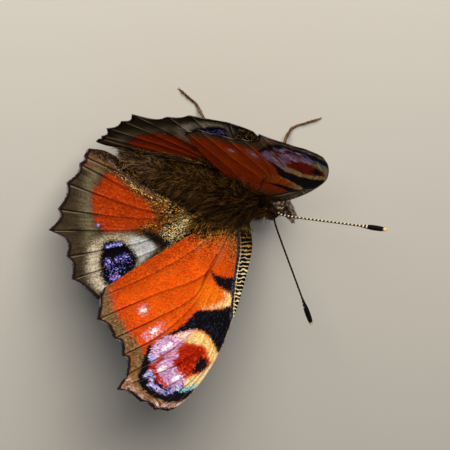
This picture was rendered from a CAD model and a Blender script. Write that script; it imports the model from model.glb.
"""A peacock butterfly, standing with its wings half open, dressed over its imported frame.

Lengths are millimetres until a mesh is written. Places on the body are (ahead, left, up) from the middle
of its back. Places on a wing are (out, ahead) in the wing's own plane, from its hinge.
"""

import logging
import math
from collections.abc import Callable, Sequence
from dataclasses import dataclass, field
from enum import Enum
from itertools import groupby

import bpy
import numpy as np
from mathutils import Matrix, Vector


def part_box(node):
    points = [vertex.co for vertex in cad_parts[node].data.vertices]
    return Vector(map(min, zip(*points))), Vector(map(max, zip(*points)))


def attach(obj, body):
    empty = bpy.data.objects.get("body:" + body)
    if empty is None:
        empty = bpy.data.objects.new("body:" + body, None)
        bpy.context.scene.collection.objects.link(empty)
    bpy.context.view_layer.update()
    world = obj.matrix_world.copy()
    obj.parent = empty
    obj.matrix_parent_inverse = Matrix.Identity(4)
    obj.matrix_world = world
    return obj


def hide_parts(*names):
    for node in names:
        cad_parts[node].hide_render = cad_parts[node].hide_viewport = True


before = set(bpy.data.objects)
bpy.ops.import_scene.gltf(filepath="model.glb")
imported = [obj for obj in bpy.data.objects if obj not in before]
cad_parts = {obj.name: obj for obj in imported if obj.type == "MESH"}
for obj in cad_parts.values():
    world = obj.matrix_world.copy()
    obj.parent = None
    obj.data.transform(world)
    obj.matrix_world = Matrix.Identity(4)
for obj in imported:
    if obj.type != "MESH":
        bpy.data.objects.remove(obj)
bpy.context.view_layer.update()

MM = 0.001
ROOT_BODY = "root"
log = logging.getLogger("butterfly")

Array = np.ndarray
Place = tuple[float, float]
Triple = tuple[float, float, float]
Path = tuple[Place, ...]
Material = bpy.types.Material
Socket = bpy.types.NodeSocket
Feed = str | float | tuple | Socket


class Side(Enum):
    """The butterfly's two sides, with the sign of +X on each."""

    LEFT = 1
    RIGHT = -1

    @property
    def word(self) -> str:
        """The side as it stands in the names of pieces."""
        return self.name.lower()


class Form(Enum):
    """How a mark's places are read."""

    PATCH = "closed outlines"
    STROKE = "lines with a half width"


class Slot(Enum):
    """The record's finishes."""

    WING = "wing"
    FUR = "fur"
    SHELL = "shell"
    EYE = "eye"


# Numbers and shapes

def smoothstep(value: Array, low: float, high: float) -> Array:
    """Rises from 0 at low to 1 at high along 3t squared minus 2t cubed."""
    share = np.clip((value - low) / (high - low), 0.0, 1.0)
    return share * share * (3.0 - 2.0 * share)


def unit(vectors: Array) -> Array:
    """The vectors at length 1, along the last axis."""
    return vectors / np.maximum(np.linalg.norm(vectors, axis=-1, keepdims=True), 1e-9)


def linear_colour(hex_code: str) -> tuple[float, float, float, float]:
    """Turns an sRGB hex colour to linear RGBA.

    Args:
        hex_code: six hex digits, with or without a hash sign.
    Returns:
        Linear red, green and blue, and an alpha of 1.
    """
    digits = hex_code.lstrip("#")
    channels = [int(digits[i:i + 2], 16) / 255 for i in (0, 2, 4)]
    linear = [c / 12.92 if c <= 0.04045 else ((c + 0.055) / 1.055) ** 2.4 for c in channels]
    return (*linear, 1.0)


def cubic_line(stations: Sequence[Sequence[float]], shares: Array) -> Array:
    """A smooth line through stations, as a cubic in each interval.

    The slope at an inner station is that of the straight line between its neighbours, weighted by their
    spacing, and the line runs out without curvature at both ends.

    Args:
        stations: rows of share followed by the values there.
        shares: where the line is wanted.
    Returns:
        One row of values for each share.
    """
    table = np.array(stations, float)
    knots, values = table[:, 0], table[:, 1:]
    last = len(knots) - 1
    i0 = np.clip(np.searchsorted(knots, shares, side="right") - 1, 0, last - 1)
    i1 = i0 + 1
    before = np.where(i0 > 0, i0 - 1, i1)
    after = np.where(i1 < last, i1 + 1, i0)
    half = (knots[i1] - knots[i0]) / 2
    weight_before = half / (knots[i0] - knots[before])
    weight_after = half / (knots[after] - knots[i1])
    p = (shares - knots[i0]) / (2 * half)
    p2, p3 = p * p, p * p * p
    parts = (
        (before, weight_before * (2 * p2 - p3 - p)),
        (i0, (1 + weight_before) * p3 - (1.5 + 2 * weight_before) * p2 + (weight_before - 0.5) * p + 1),
        (i1, (1.5 + weight_after) * p2 - (1 + weight_after) * p3 + 0.5 * p),
        (after, weight_after * (p3 - p2)),
    )
    return sum(factor[:, None] * values[index] for index, factor in parts)


def run_along(path: Array) -> Array:
    """How far each place of a path lies from its start along straight steps."""
    return np.concatenate([[0.0], np.cumsum(np.linalg.norm(np.diff(path, axis=0), axis=1))])


def smooth_path(points: Sequence[Sequence[float]], count: int) -> Array:
    """A curve through points, spaced evenly along its length.

    The points stand at shares of the summed straight distances between them, and the curve is cubic_line
    over those shares, then walked at equal steps.

    Args:
        points: the places that it passes, in order.
        count: how many places to return.
    Returns:
        Places along the curve.
    """
    table = np.array(points, float)
    knots = run_along(table)
    fine = cubic_line(np.column_stack([knots / knots[-1], table]), np.linspace(0, 1, 20 * count))
    run = run_along(fine)
    wanted = np.linspace(0, run[-1], count)
    return np.column_stack([np.interp(wanted, run, fine[:, axis]) for axis in range(fine.shape[1])])


def rounded(outline: Path, steps: int = 4) -> Array:
    """A closed curve through an outline's places.

    Between b and c, with a before and d after them, it is b + (c - a) t / 2
    + (2a - 5b + 4c - d) t squared / 2 + (3b - a - 3c + d) t cubed / 2.

    Args:
        outline: the places, in order.
        steps: places of the curve from one of them to the next.
    Returns:
        Places along the curve, without the first again at its end.
    """
    b = np.array(outline, float)[:, None]
    a, c, d = np.roll(b, 1, 0), np.roll(b, -1, 0), np.roll(b, -2, 0)
    t = np.linspace(0, 1, steps, endpoint=False)[None, :, None]
    square, cube = 2 * a - 5 * b + 4 * c - d, 3 * b - a - 3 * c + d
    curve = b + (c - a) * t / 2 + square * t ** 2 / 2 + cube * t ** 3 / 2
    return curve.reshape(-1, 2)


def distance_to_line(points: Array, starts: Array, ends: Array) -> Array:
    """The shortest distance from each point to any of the segments.

    Each point is dropped onto every segment, the foot is kept within the segment, and the least distance
    is taken.

    Args:
        points: the places asked about.
        starts: one end of each segment.
        ends: the other end of each.
    Returns:
        One distance for each point.
    """
    along = ends - starts
    lengths = np.maximum((along * along).sum(1), 1e-12)
    best = np.full(len(points), np.inf)
    for start, way_on, length in zip(starts, along, lengths):
        offset = points - start
        share = np.clip(offset @ way_on / length, 0.0, 1.0)
        gap = offset - share[:, None] * way_on
        best = np.minimum(best, np.einsum("ij,ij->i", gap, gap))
    return np.sqrt(best)


def patch_depth(points: Array, outline: Array) -> Array:
    """How deep each point lies in a closed outline, in mm, and negative outside.

    A point is inside where a ray from it along +x crosses the outline an odd number of times.

    Args:
        points: the places asked about.
        outline: the outline's corners, in order.
    Returns:
        The distance to the outline, with its sign.
    """
    following = np.roll(outline, -1, axis=0)
    inside = np.zeros(len(points), bool)
    for a, b in zip(outline, following):
        spans = (a[1] > points[:, 1]) != (b[1] > points[:, 1])
        rise = b[1] - a[1] if b[1] != a[1] else 1e-12
        crossing = a[0] + (points[:, 1] - a[1]) / rise * (b[0] - a[0])
        inside ^= spans & (points[:, 0] < crossing)
    gap = distance_to_line(points, outline, following)
    return np.where(inside, gap, -gap)


# Meshes

@dataclass
class Surface:
    """Corners in mm, faces, and what is stored on them.

    Attributes:
        points: corner places in mm, one row each.
        faces: arrays of corner numbers, one array for each number of sides.
        values: named numbers, one for each corner, or three where the array has rows of three.
        bake: a place on the unwrap for each corner, or None.
        finish_of: for each array of faces, the material number of its faces.
    """

    points: Array
    faces: list[Array]
    values: dict[str, Array] = field(default_factory=dict)
    bake: Array | None = None
    finish_of: list[int] | None = None


def grid_faces(rows: int, columns: int, closed: bool = False) -> Array:
    """Four-sided faces of a grid of corners numbered row by row.

    Args:
        rows: corners down the grid.
        columns: corners across it.
        closed: whether the last column joins the first.
    Returns:
        Corner numbers, four to a face.
    """
    across = np.arange(columns if closed else columns - 1)
    row, column = np.meshgrid(np.arange(rows - 1), across, indexing="ij")
    here = row * columns + column
    beside = row * columns + (column + 1) % columns
    return np.stack([here, beside, beside + columns, here + columns], -1).reshape(-1, 4)


def outward(surface: Surface) -> Surface:
    """The surface with all faces turned if its signed volume is negative."""
    volume = 0.0
    for array in surface.faces:
        corners = surface.points[array]
        for k in range(1, array.shape[1] - 1):
            volume += np.einsum("ij,ij->", corners[:, 0], np.cross(corners[:, k], corners[:, k + 1]))
    if volume < 0:
        surface.faces = [array[:, ::-1] for array in surface.faces]
    return surface


def capped(rings: Array, tips: Array, values: dict[str, Array] | None = None) -> Surface:
    """A closed skin through rings of corners, with each end closed on a point.

    Args:
        rings: places in mm, by ring and by corner round it.
        tips: the two end points, before the first ring and past the last.
        values: what is stored on its corners, the tips last.
    Returns:
        The skin, facing outwards.
    """
    rows, columns = rings.shape[:2]
    total = rows * columns
    ring = np.arange(columns)
    after = (ring + 1) % columns
    last = total - columns
    caps = np.concatenate([
        np.stack([np.full(columns, total), after, ring], -1),
        np.stack([np.full(columns, total + 1), last + ring, last + after], -1),
    ])
    faces = [grid_faces(rows, columns, closed=True), caps]
    return outward(Surface(np.concatenate([rings.reshape(-1, 3), tips]), faces, values or {}))


def joined(parts: Sequence[Surface]) -> Surface:
    """Several surfaces that store the same values, as one."""
    offsets = np.cumsum([0] + [len(part.points) for part in parts])
    faces = [array + offset for part, offset in zip(parts, offsets) for array in part.faces]
    values = {name: np.concatenate([part.values[name] for part in parts]) for name in parts[0].values}
    return Surface(np.concatenate([part.points for part in parts]), faces, values)


def linked(name: str, data: bpy.types.ID) -> bpy.types.Object:
    """A new object with this data, in the scene."""
    thing = bpy.data.objects.new(name, data)
    bpy.context.scene.collection.objects.link(thing)
    return thing


def make_piece(name: str, surface: Surface, materials: Sequence[Material], slot: Slot,
               replaces: Sequence[str] = ()) -> bpy.types.Object:
    """Writes a surface into a mesh object at the origin, dresses it and puts it on the body.

    Args:
        name: the piece's name.
        surface: its corners and faces, in mm.
        materials: its materials, in the order that finish_of counts.
        slot: the record's finish that it stands for.
        replaces: the frame's nodes that it stands for.
    Returns:
        The new object.
    """
    mesh = bpy.data.meshes.new(name)
    sides = np.concatenate([np.full(len(array), array.shape[1]) for array in surface.faces])
    corners = np.concatenate([array.ravel() for array in surface.faces]).astype(np.int32)
    mesh.vertices.add(len(surface.points))
    mesh.vertices.foreach_set("co", (surface.points * MM).astype(np.float32).ravel())
    mesh.loops.add(len(corners))
    mesh.loops.foreach_set("vertex_index", corners)
    mesh.polygons.add(len(sides))
    mesh.polygons.foreach_set("loop_start", (np.cumsum(sides) - sides).astype(np.int32))
    mesh.polygons.foreach_set("loop_total", sides.astype(np.int32))
    numbers = surface.finish_of or [0] * len(surface.faces)
    finish = np.concatenate([np.full(len(a), n) for a, n in zip(surface.faces, numbers)])
    mesh.polygons.foreach_set("material_index", finish.astype(np.int32))
    mesh.polygons.foreach_set("use_smooth", np.ones(len(sides), bool))
    for key, array in surface.values.items():
        vector = array.ndim == 2
        attribute = mesh.attributes.new(key, "FLOAT_VECTOR" if vector else "FLOAT", "POINT")
        attribute.data.foreach_set("vector" if vector else "value", array.astype(np.float32).ravel())
    if surface.bake is not None:
        layer = mesh.uv_layers.new(name="OFBake")
        layer.data.foreach_set("uv", surface.bake[corners].astype(np.float32).ravel())
    for material in materials:
        mesh.materials.append(material)
    mesh.update(calc_edges=True)
    mesh.validate()
    piece = linked(name, mesh)
    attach(piece, ROOT_BODY)
    if replaces:
        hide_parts(*replaces)
    log.info("%s: %d faces", name, len(sides))
    return piece


def swept(path: Array, radii: Array, sides: int, reference: Triple) -> Surface:
    """A closed tube round a path.

    Each ring is the circle radius times (across cos a + upright sin a), where across is square to the
    path's direction and to the reference, and the two ends close on a point a third of a radius out.

    Args:
        path: places of the ring centres.
        radii: one radius for each ring.
        sides: corners round the tube.
        reference: a direction that the path never points along.
    Returns:
        The tube, with along (mm from its start) and share (0 to 1) on its corners.
    """
    tangents = unit(np.gradient(path, axis=0))
    across = unit(np.cross(tangents, np.array(reference)))
    upright = np.cross(across, tangents)
    angles = np.linspace(0, 2 * np.pi, sides, endpoint=False)[None, :, None]
    spokes = across[:, None] * np.cos(angles) + upright[:, None] * np.sin(angles)
    rings = path[:, None] + spokes * radii[:, None, None]
    tips = np.stack([path[0] - tangents[0] * radii[0] / 3, path[-1] + tangents[-1] * radii[-1] / 3])
    run = run_along(path)
    along = np.concatenate([np.repeat(run, sides), [0.0, run[-1]]])
    return capped(rings, tips, {"along": along, "share": along / run[-1]})


@dataclass(frozen=True)
class Coat:
    """The sizes of a coat of tufts.

    Attributes:
        length: shortest and longest tuft, in mm.
        width: a tuft's width at its root, in mm.
        lift: how far the tip stands from the skin, as a share of the length.
        sink: how far the root sits under the skin, in mm.
        scatter: how far the lie strays, in radians.
    """

    length: Place
    width: float
    lift: float
    sink: float = 0.1
    scatter: float = 0.25


# The side of one tuft's patch on the unwrap, as a share of the unwrap.
TUFT_PATCH = 0.003
# The shares of a tuft's length at which it has three corners.
TUFT_LEVELS = (0.0, 0.38, 0.74)


def tufts(roots: Array, facings: Array, lies: Array, unwrap: Array, coat: Coat, seed: int,
          tone: Array | None = None) -> Surface:
    """Tapered tufts with three sides, each rooted in the skin and bent along the coat's lie.

    A tuft's centre line is root + lie times length times t + facing times length times lift times
    (1.6 t minus 0.6 t squared), for t from 0 to 1, and it strays sideways by the length times t squared
    times a share drawn about 0 with a spread of 0.12. Its lift is drawn from 0.6 to 1.4 of the coat's. Its
    three corners shrink with the root of 1 - t, and meet in a tip.

    Args:
        roots: places on the skin, in mm.
        facings: the skin's outward directions there.
        lies: the directions that the coat lies in.
        unwrap: the roots' places on the skin's unwrap, 0 to 1.
        coat: sizes.
        seed: of the random draw.
        tone: 0 to 1 for each tuft, from dark to light, or None for a random tone.
    Returns:
        The tufts, with tone and share (0 at the root, 1 at the tip) on their corners.
    """
    rng = np.random.default_rng(seed)
    count = len(roots)
    facings = unit(facings)
    flat = unit(lies - facings * np.einsum("ij,ij->i", lies, facings)[:, None])
    side = np.cross(facings, flat)
    turn = rng.normal(0, coat.scatter, count)[:, None]
    way = flat * np.cos(turn) + side * np.sin(turn)
    side = np.cross(facings, way)
    length = rng.uniform(coat.length[0], coat.length[1], count)[:, None]
    lift = coat.lift * rng.uniform(0.6, 1.4, count)[:, None]
    sweep = rng.normal(0, 0.12, count)[:, None]
    tone = rng.random(count) if tone is None else tone
    start = roots - facings * coat.sink
    rings, shares = [], []
    for t in (*TUFT_LEVELS, 1.0):
        centre = start + way * length * t + facings * length * lift * (1.6 * t - 0.6 * t * t)
        centre = centre + side * length * sweep * t * t
        half = coat.width / 2 * math.sqrt(1 - t)
        if t < 1.0:
            three = (centre - side * half, centre + side * half, centre + facings * half * 0.8)
            rings.append(np.stack(three, 1))
        else:
            rings.append(centre[:, None])
        shares.append(np.full((count, rings[-1].shape[1]), t))
    points = np.concatenate(rings, 1)
    corners = points.shape[1]
    base = np.arange(count)[:, None] * corners
    ring = np.array([[0, 1], [1, 2], [2, 0]])
    quads = np.concatenate([[[a + 3 * k, b + 3 * k, b + 3 * k + 3, a + 3 * k + 3] for a, b in ring]
                            for k in range(len(TUFT_LEVELS) - 1)])
    top = 3 * (len(TUFT_LEVELS) - 1)
    caps = np.array([[0, 2, 1], *[[a + top, b + top, corners - 1] for a, b in ring]])
    share = np.concatenate(shares, 1)
    spread = np.broadcast_to(np.array([-1.0, 1.0, 0.0] * len(TUFT_LEVELS) + [0.0]), (count, corners))
    bake = unwrap[:, None] + TUFT_PATCH / 2 * np.stack([spread, 2 * share - 1], -1)
    values = {"tone": np.repeat(tone, corners), "share": share.ravel()}
    faces = [(base[:, None] + quads[None]).reshape(-1, 4), (base[:, None] + caps[None]).reshape(-1, 3)]
    return Surface(points.reshape(-1, 3), faces, values, bake.reshape(-1, 2))


# Materials

class Kind(Enum):
    """The kinds of node in use: each one's type, and what is set on it unless a call says otherwise."""

    SHADER = ("BsdfPrincipled", {})
    OUTPUT = ("OutputMaterial", {})
    BUMP = ("Bump", {})
    STORED = ("Attribute", {"attribute_type": "GEOMETRY", "out": "Fac"})
    COORDINATES = ("TexCoord", {"out": "Object"})
    MAPPING = ("Mapping", {})
    CELLS = ("TexVoronoi", {"Randomness": 0.85})
    NOISE = ("TexNoise", {"Detail": 2.0})
    RANGE = ("MapRange", {})
    RAMP = ("ValToRGB", {})
    MIX = ("Mix", {"data_type": "RGBA"})
    TINT = ("Mix", {"data_type": "RGBA", "blend_type": "MULTIPLY"})
    PLACE_PARTS = ("SeparateXYZ", {})
    COLOUR_PARTS = ("SeparateColor", {})
    COLOUR = ("CombineColor", {})
    SCALE = ("VectorMath", {"operation": "SCALE"})
    SUBTRACT = ("Math", {"operation": "SUBTRACT"})
    MULTIPLY = ("Math", {"operation": "MULTIPLY"})
    MULTIPLY_ADD = ("Math", {"operation": "MULTIPLY_ADD"})
    MAXIMUM = ("Math", {"operation": "MAXIMUM"})
    LESS_THAN = ("Math", {"operation": "LESS_THAN"})
    GREATER_THAN = ("Math", {"operation": "GREATER_THAN"})
    COMPARE = ("Math", {"operation": "COMPARE"})
    SINE = ("Math", {"operation": "SINE"})


class Network:
    """A new material and the nodes that give its look."""

    def __init__(self, name: str) -> None:
        """Makes the material, with no nodes in it."""
        self.material = bpy.data.materials.new(name)
        self.material.use_nodes = True
        self.tree = self.material.node_tree
        self.tree.nodes.clear()

    def add(self, kind: Kind, *feeds: Feed, **settings: object) -> Socket | None:
        """Adds a node with its settings and links.

        Args:
            kind: the kind of node.
            feeds: for its inputs in order, each a value, a hex colour or the socket that feeds it.
            settings: its own properties in lower case, inputs by name with a capital, the stops (place, hex
                colour) of a ramp, and out, the name of the output wanted.
        Returns:
            The output wanted, or else its first one. The socket's node has the others.
        """
        type_name, usual = kind.value
        settings = {"out": None, "stops": (), **usual, **settings}
        out, stops = settings.pop("out"), settings.pop("stops")
        node = self.tree.nodes.new(f"ShaderNode{type_name}")
        for key in [key for key in settings if key[0].islower()]:
            setattr(node, key, settings.pop(key))
        while stops and len(node.color_ramp.elements) < len(stops):
            node.color_ramp.elements.new(0.5)
        for number, (place, code) in enumerate(stops):
            node.color_ramp.elements[number].position = place
            node.color_ramp.elements[number].color = linear_colour(code)
        inputs = list(zip([socket for socket in node.inputs if socket.enabled], feeds))
        inputs += [(node.inputs[key.replace("_", " ")], value) for key, value in settings.items()]
        for socket, value in inputs:
            if isinstance(value, Socket):
                self.tree.links.new(value, socket)
            else:
                socket.default_value = linear_colour(value) if isinstance(value, str) else value
        outputs = [socket for socket in node.outputs if socket.enabled and out in (None, socket.name)]
        return outputs[0] if outputs else None

    def pattern(self, kind: Kind, place: Socket, size: Triple, **settings: float) -> Socket:
        """Cells or noise with parts of a size in mm, over places in mm."""
        mapping = self.add(Kind.MAPPING, Vector=place, Scale=tuple(1 / length for length in size))
        return self.add(kind, Vector=mapping, Scale=1.0, **settings)

    def place(self) -> Socket:
        """Object coordinates in mm."""
        return self.add(Kind.SCALE, self.add(Kind.COORDINATES), 1 / MM)

    def shaded(self, colour: Feed, height: Socket | None = None, depth: float = 0.03, strength: float = 1.0,
               **constants: float) -> Material:
        """Ends the nodes in a shader.

        Args:
            colour: its base colour, as a socket or a hex colour.
            height: of its relief, from 0 to 1, or None for a smooth surface.
            depth: of the relief in mm.
            strength: how much of the relief shows.
            constants: the shader's own constants.
        Returns:
            The material.
        """
        if height is not None:
            constants["Normal"] = self.add(Kind.BUMP, Strength=strength, Distance=depth * MM, Height=height)
        shader = self.add(Kind.SHADER, Base_Color=colour, **constants)
        self.add(Kind.OUTPUT, Surface=shader)
        return self.material


def spaced(tones: Sequence[str], low: float, high: float) -> list[tuple[float, str]]:
    """The stops of a ramp through tones, at even steps from low to high."""
    return [(low + (high - low) * i / (len(tones) - 1), tone) for i, tone in enumerate(tones)]


@dataclass(frozen=True)
class HairFinish:
    """Chitin hair: each tuft is dark at its root and has its own tone at the tip.

    Attributes:
        name: of the material.
        root: hex colour at the skin.
        tones: hex colours of the tips, from the darkest to the lightest.
        roughness: of the hair.
    """

    name: str
    root: str
    tones: tuple[str, ...]
    roughness: float = 0.55

    def build(self) -> Material:
        """Colours run from the root's to the tuft's own tone, which a ramp picks among the tones."""
        net = Network(self.name)
        stops = [((i + 0.5) / len(self.tones), tone) for i, tone in enumerate(self.tones)]
        tip = net.add(Kind.RAMP, net.add(Kind.STORED, attribute_name="tone"), stops=stops)
        share = net.add(Kind.STORED, attribute_name="share")
        grown = net.add(Kind.MULTIPLY_ADD, share, 1.3, 0.1, use_clamp=True)
        colour = net.add(Kind.MIX, grown, self.root, tip)
        return net.shaded(colour, Roughness=self.roughness, Specular_IOR_Level=0.12)


@dataclass(frozen=True)
class ShellFinish:
    """Scaled cuticle: flat scales on a dark shell, with worn tones over it.

    Attributes:
        name: of the material.
        tones: hex colours from dark to light.
        grain: size of the flat scales in mm, coarser than the real 0.05 so that they show.
        roughness: of the shell.
    """

    name: str
    tones: tuple[str, ...]
    grain: float = 0.12
    roughness: float = 0.5

    def build(self) -> Material:
        """Scales give a fine mottle and a soft relief."""
        net = Network(self.name)
        place = net.place()
        scale = net.pattern(Kind.CELLS, place, (self.grain,) * 3)
        broad = net.pattern(Kind.NOISE, place, (1.2,) * 3, Detail=3.0)
        pick = net.add(Kind.MULTIPLY_ADD, scale, 0.5, broad)
        colour = net.add(Kind.RAMP, pick, stops=spaced(self.tones, 0.3, 0.85))
        return net.shaded(colour, scale, Roughness=self.roughness, Specular_IOR_Level=0.2)


# The body's own place

@dataclass(frozen=True)
class BodyFrame:
    """The middle of the back, found from the two eyes' nodes, and the ways from it.

    Attributes:
        eye_ahead: how far the eyes' middles lie ahead of it.
        eye_drop: how far they lie under it.
    """

    eye_ahead: float = 4.4
    eye_drop: float = 0.15

    @property
    def origin(self) -> Array:
        """The middle of the back in the row's frame, in mm."""
        boxes = [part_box(f"eye_{side.word}") for side in Side]
        middle = sum(np.array(low) + np.array(high) for low, high in boxes) / (2 * len(boxes)) / MM
        return middle + np.array([0.0, self.eye_ahead, self.eye_drop])

    def at(self, ahead: Array | float, left: Array | float, up: Array | float) -> Array:
        """Places on the body as rows of x, y, z in mm."""
        ahead, left, up = np.broadcast_arrays(ahead, left, up)
        return self.origin + np.stack([left, -ahead, up], -1).astype(float)


BODY = BodyFrame()
FLOOR_UP = -float(BODY.origin[2])


def way(ahead: float, left: float, up: float) -> Array:
    """A direction on the body, in the row's frame."""
    return unit(np.array([left, -ahead, up], float))


# Wings

@dataclass(frozen=True)
class Vein:
    """One vein, or one edge of the wing.

    Attributes:
        ridge: how high it stands, as a share of the wing's vein height.
        notch: how far the margin is cut back before the next vein, in mm.
        stations: (share of its length, out, ahead) in mm.
        start: the share at which its ridge starts.
        ink: how dark its line is on the inner wing and at the border.
    """

    ridge: float
    notch: float
    stations: tuple[Triple, ...]
    start: float = 0.0
    ink: Place = (0.5, 0.9)


@dataclass(frozen=True)
class WingPose:
    """Where a wing's hinge is on the body, (ahead, out, up) in mm, and how it is turned, in degrees."""

    hinge: Triple
    dihedral: float
    sweep: float
    pitch: float

    def axes(self, side: Side) -> tuple[Array, Array, Array]:
        """The wing's out, ahead and up directions: dihedral about the body, then sweep, then pitch."""
        dihedral, sweep, pitch = np.radians([self.dihedral, self.sweep, self.pitch])
        out = np.array([side.value * math.cos(dihedral), 0, math.sin(dihedral)])
        face = np.array([-side.value * math.sin(dihedral), 0, math.cos(dihedral)])
        front = np.array([0.0, -1.0, 0.0])
        swept_out = out * math.cos(sweep) - front * math.sin(sweep)
        swept_front = front * math.cos(sweep) + out * math.sin(sweep)
        ahead = swept_front * math.cos(pitch) + face * math.sin(pitch)
        up = face * math.cos(pitch) - swept_front * math.sin(pitch)
        return swept_out, ahead, up


@dataclass(frozen=True)
class Mark:
    """One coloured mark on a wing, laid scale by scale over what is under it.

    Attributes:
        name: of the value that holds its depth on the mesh.
        form: how its paths are read.
        paths: outlines or lines, (out, ahead) in mm.
        colour: hex colour of its scales.
        flecks: hex colours of single scales among them, each with its share.
        half_width: of a line, in mm.
        soft: half width of its blurred edge, in mm.
        stray: how far single scales stray past the edge, in mm.
        cover: the share of scales inside it that have its colour.
    """

    name: str
    form: Form
    paths: tuple[Path, ...]
    colour: str
    flecks: tuple[tuple[str, float], ...] = ()
    half_width: float = 0.0
    soft: float = 0.12
    stray: float = 0.25
    cover: float = 1.0

    def depth(self, points: Array) -> Array:
        """How deep each place on the wing lies in the mark, in mm."""
        found = []
        for path in self.paths:
            if self.form is Form.PATCH:
                found.append(patch_depth(points, rounded(path)))
            else:
                line = smooth_path(path, 24)
                found.append(self.half_width - distance_to_line(points, line[:-1], line[1:]))
        return np.clip(np.maximum.reduce(found), -3.0, 3.0)


def forewing_form(out: Array, ahead: Array) -> Array:
    """The forewing is arched across its chord and droops to its tip.

    Height is 0.35 s (1 - c squared) - 0.5 s squared, with s the share of the 29 mm span and c the place
    across the chord, 0 at 3.5 mm behind the hinge and 1 at 9 mm from there.

    Args:
        out: places out in the flat wing, in mm.
        ahead: places ahead in it, in mm.
    Returns:
        (out, ahead, up) in mm on the bent wing.
    """
    length, arch, droop = 29.0, 0.35, 0.5
    crest, half_chord = -3.5, 9.0
    span = out / length
    chord = (ahead - crest) / half_chord
    return np.stack([out, ahead, arch * span * (1 - chord * chord) - droop * span * span], -1)


def hindwing_form(out: Array, ahead: Array) -> Array:
    """The hindwing is flat up to a fold, past which its inner strip turns down along the abdomen.

    Past the fold the sheet follows a circle of 2.2 mm radius for up to 58 degrees and then goes straight,
    and the turn opens out to a quarter of that from 13.5 to 19.5 mm behind the hinge.

    Args:
        out: places out in the flat wing, in mm.
        ahead: places ahead in it, in mm.
    Returns:
        (out, ahead, up) in mm on the bent wing.
    """
    fold_start, fold_end = np.array([2.7, -4.5]), np.array([-0.7, -17.2])
    fold_radius, fold_turn = 2.2, math.radians(58)
    opened, opens_from, opens_to = 0.75, 13.5, 19.5
    along = unit(fold_end - fold_start)
    inward = np.array([along[1], -along[0]])
    past = np.maximum(0.0, (out - fold_start[0]) * inward[0] + (ahead - fold_start[1]) * inward[1])
    fade = 1 - opened * smoothstep(-ahead, opens_from, opens_to)
    radius = fold_radius / fade
    turn = np.minimum(past / radius, fold_turn * fade)
    straight = past - turn * radius
    inwards = radius * np.sin(turn) + straight * np.cos(turn)
    down = radius * (1 - np.cos(turn)) + straight * np.sin(turn)
    shift = inwards - past
    return np.stack([out + inward[0] * shift, ahead + inward[1] * shift, -down], -1)


@dataclass(frozen=True)
class Down:
    """One coat of hair on a wing's upper side.

    Attributes:
        name: of the piece, after the wing's.
        shift: added to the wing's seed.
        count: how many tufts are tried.
        fade: where it starts to thin out and where it ends, in mm.
        coat: sizes.
        lie_turn: radians that it lies turned from the veins, from the inner margin to the costa.
        toward: the (out, ahead) that the fade runs along, or None for the distance from the hinge.
        span: from where to where it grows, as shares of the way from the inner margin to the costa.
        reach: the square of the share of the wing's length that tufts are tried on.
    """

    name: str
    shift: int
    count: int
    fade: Place
    coat: Coat
    lie_turn: float
    toward: Place | None = None
    span: Place = (0.0, 1.0)
    reach: float = 0.95

    def density(self, place: Array) -> Array:
        """The share of tufts kept at each (out, ahead)."""
        far = np.linalg.norm(place, axis=-1) if self.toward is None else place @ np.array(self.toward)
        return 1 - smoothstep(far, *self.fade)


@dataclass(frozen=True)
class WingPlan:
    """The shape and the pattern of a wing, the same on both sides.

    Attributes:
        name: of the wing.
        veins: from the inner margin to the costa.
        form: turns (out, ahead) into the wing's bent surface.
        marks: in the order that they are laid.
        down: its coats of hair.
        rows: corners along a vein.
        steps: corners from one vein to the next.
        skin: the wing's thickness in mm.
        relief: height of the veins and depth of the sag between them, in mm.
        ridge: half width of a vein's ridge in mm.
        full_sag: how far apart two veins are where the sag between them is full, in mm.
        fringe: length of the fringe scales in mm.
        hair_height: of the hair's roots over the middle of the skin, in mm.
        costal_band: width in mm of the banded costa at the hinge, and how far out it ends.
    """

    name: str
    veins: tuple[Vein, ...]
    form: Callable[[Array, Array], Array]
    marks: tuple[Mark, ...]
    down: tuple[Down, ...]
    rows: int = 170
    steps: int = 16
    skin: float = 0.13
    relief: Place = (0.06, 0.13)
    ridge: float = 0.17
    full_sag: float = 3.5
    fringe: float = 0.14
    hair_height: float = 0.07
    costal_band: Place = (2.08, 14.6)

    def lines(self, shares: Array) -> Array:
        """The veins' places at each share, as rows of veins."""
        return np.stack([cubic_line(vein.stations, shares) for vein in self.veins], 1)

    def places(self, shares: Array, columns: Array, inset: float = 0.0) -> Array:
        """Places on the wing for shares along it and columns counted in veins from the inner margin.

        A place is the straight mean of its two veins, drawn towards the hinge by the notch times the
        sixth power of the share times sin(pi t), t being how far it is from one vein to the next.

        Args:
            shares: of the length, 0 at the hinge.
            columns: of the veins, with parts of a vein gap.
            inset: how far the margin is drawn in for the fringe, in mm.
        Returns:
            (out, ahead) in mm, by share and by column.
        """
        lines = self.lines(shares)
        index = np.clip(columns.astype(int), 0, len(self.veins) - 2)
        between = (columns - index)[None, :, None]
        place = lines[:, index] * (1 - between) + lines[:, index + 1] * between
        notches = np.array([vein.notch for vein in self.veins])[index]
        cut = notches[None] * shares[:, None] ** 6 * np.sin(np.pi * between[..., 0])
        cut = cut + inset * shares[:, None] ** 4 * self.free_edge(columns)[None]
        reach = np.maximum(np.linalg.norm(place, axis=-1), 1e-6)
        return place * (1 - cut / reach)[..., None]

    def free_edge(self, columns: Array) -> Array:
        """1 where a column ends on the fringed margin, falling to 0 at the costa and the inner margin."""
        last = len(self.veins) - 1
        return smoothstep(columns, 0.0, 0.6) * (1 - smoothstep(columns, last - 0.9, last - 0.1))


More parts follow.
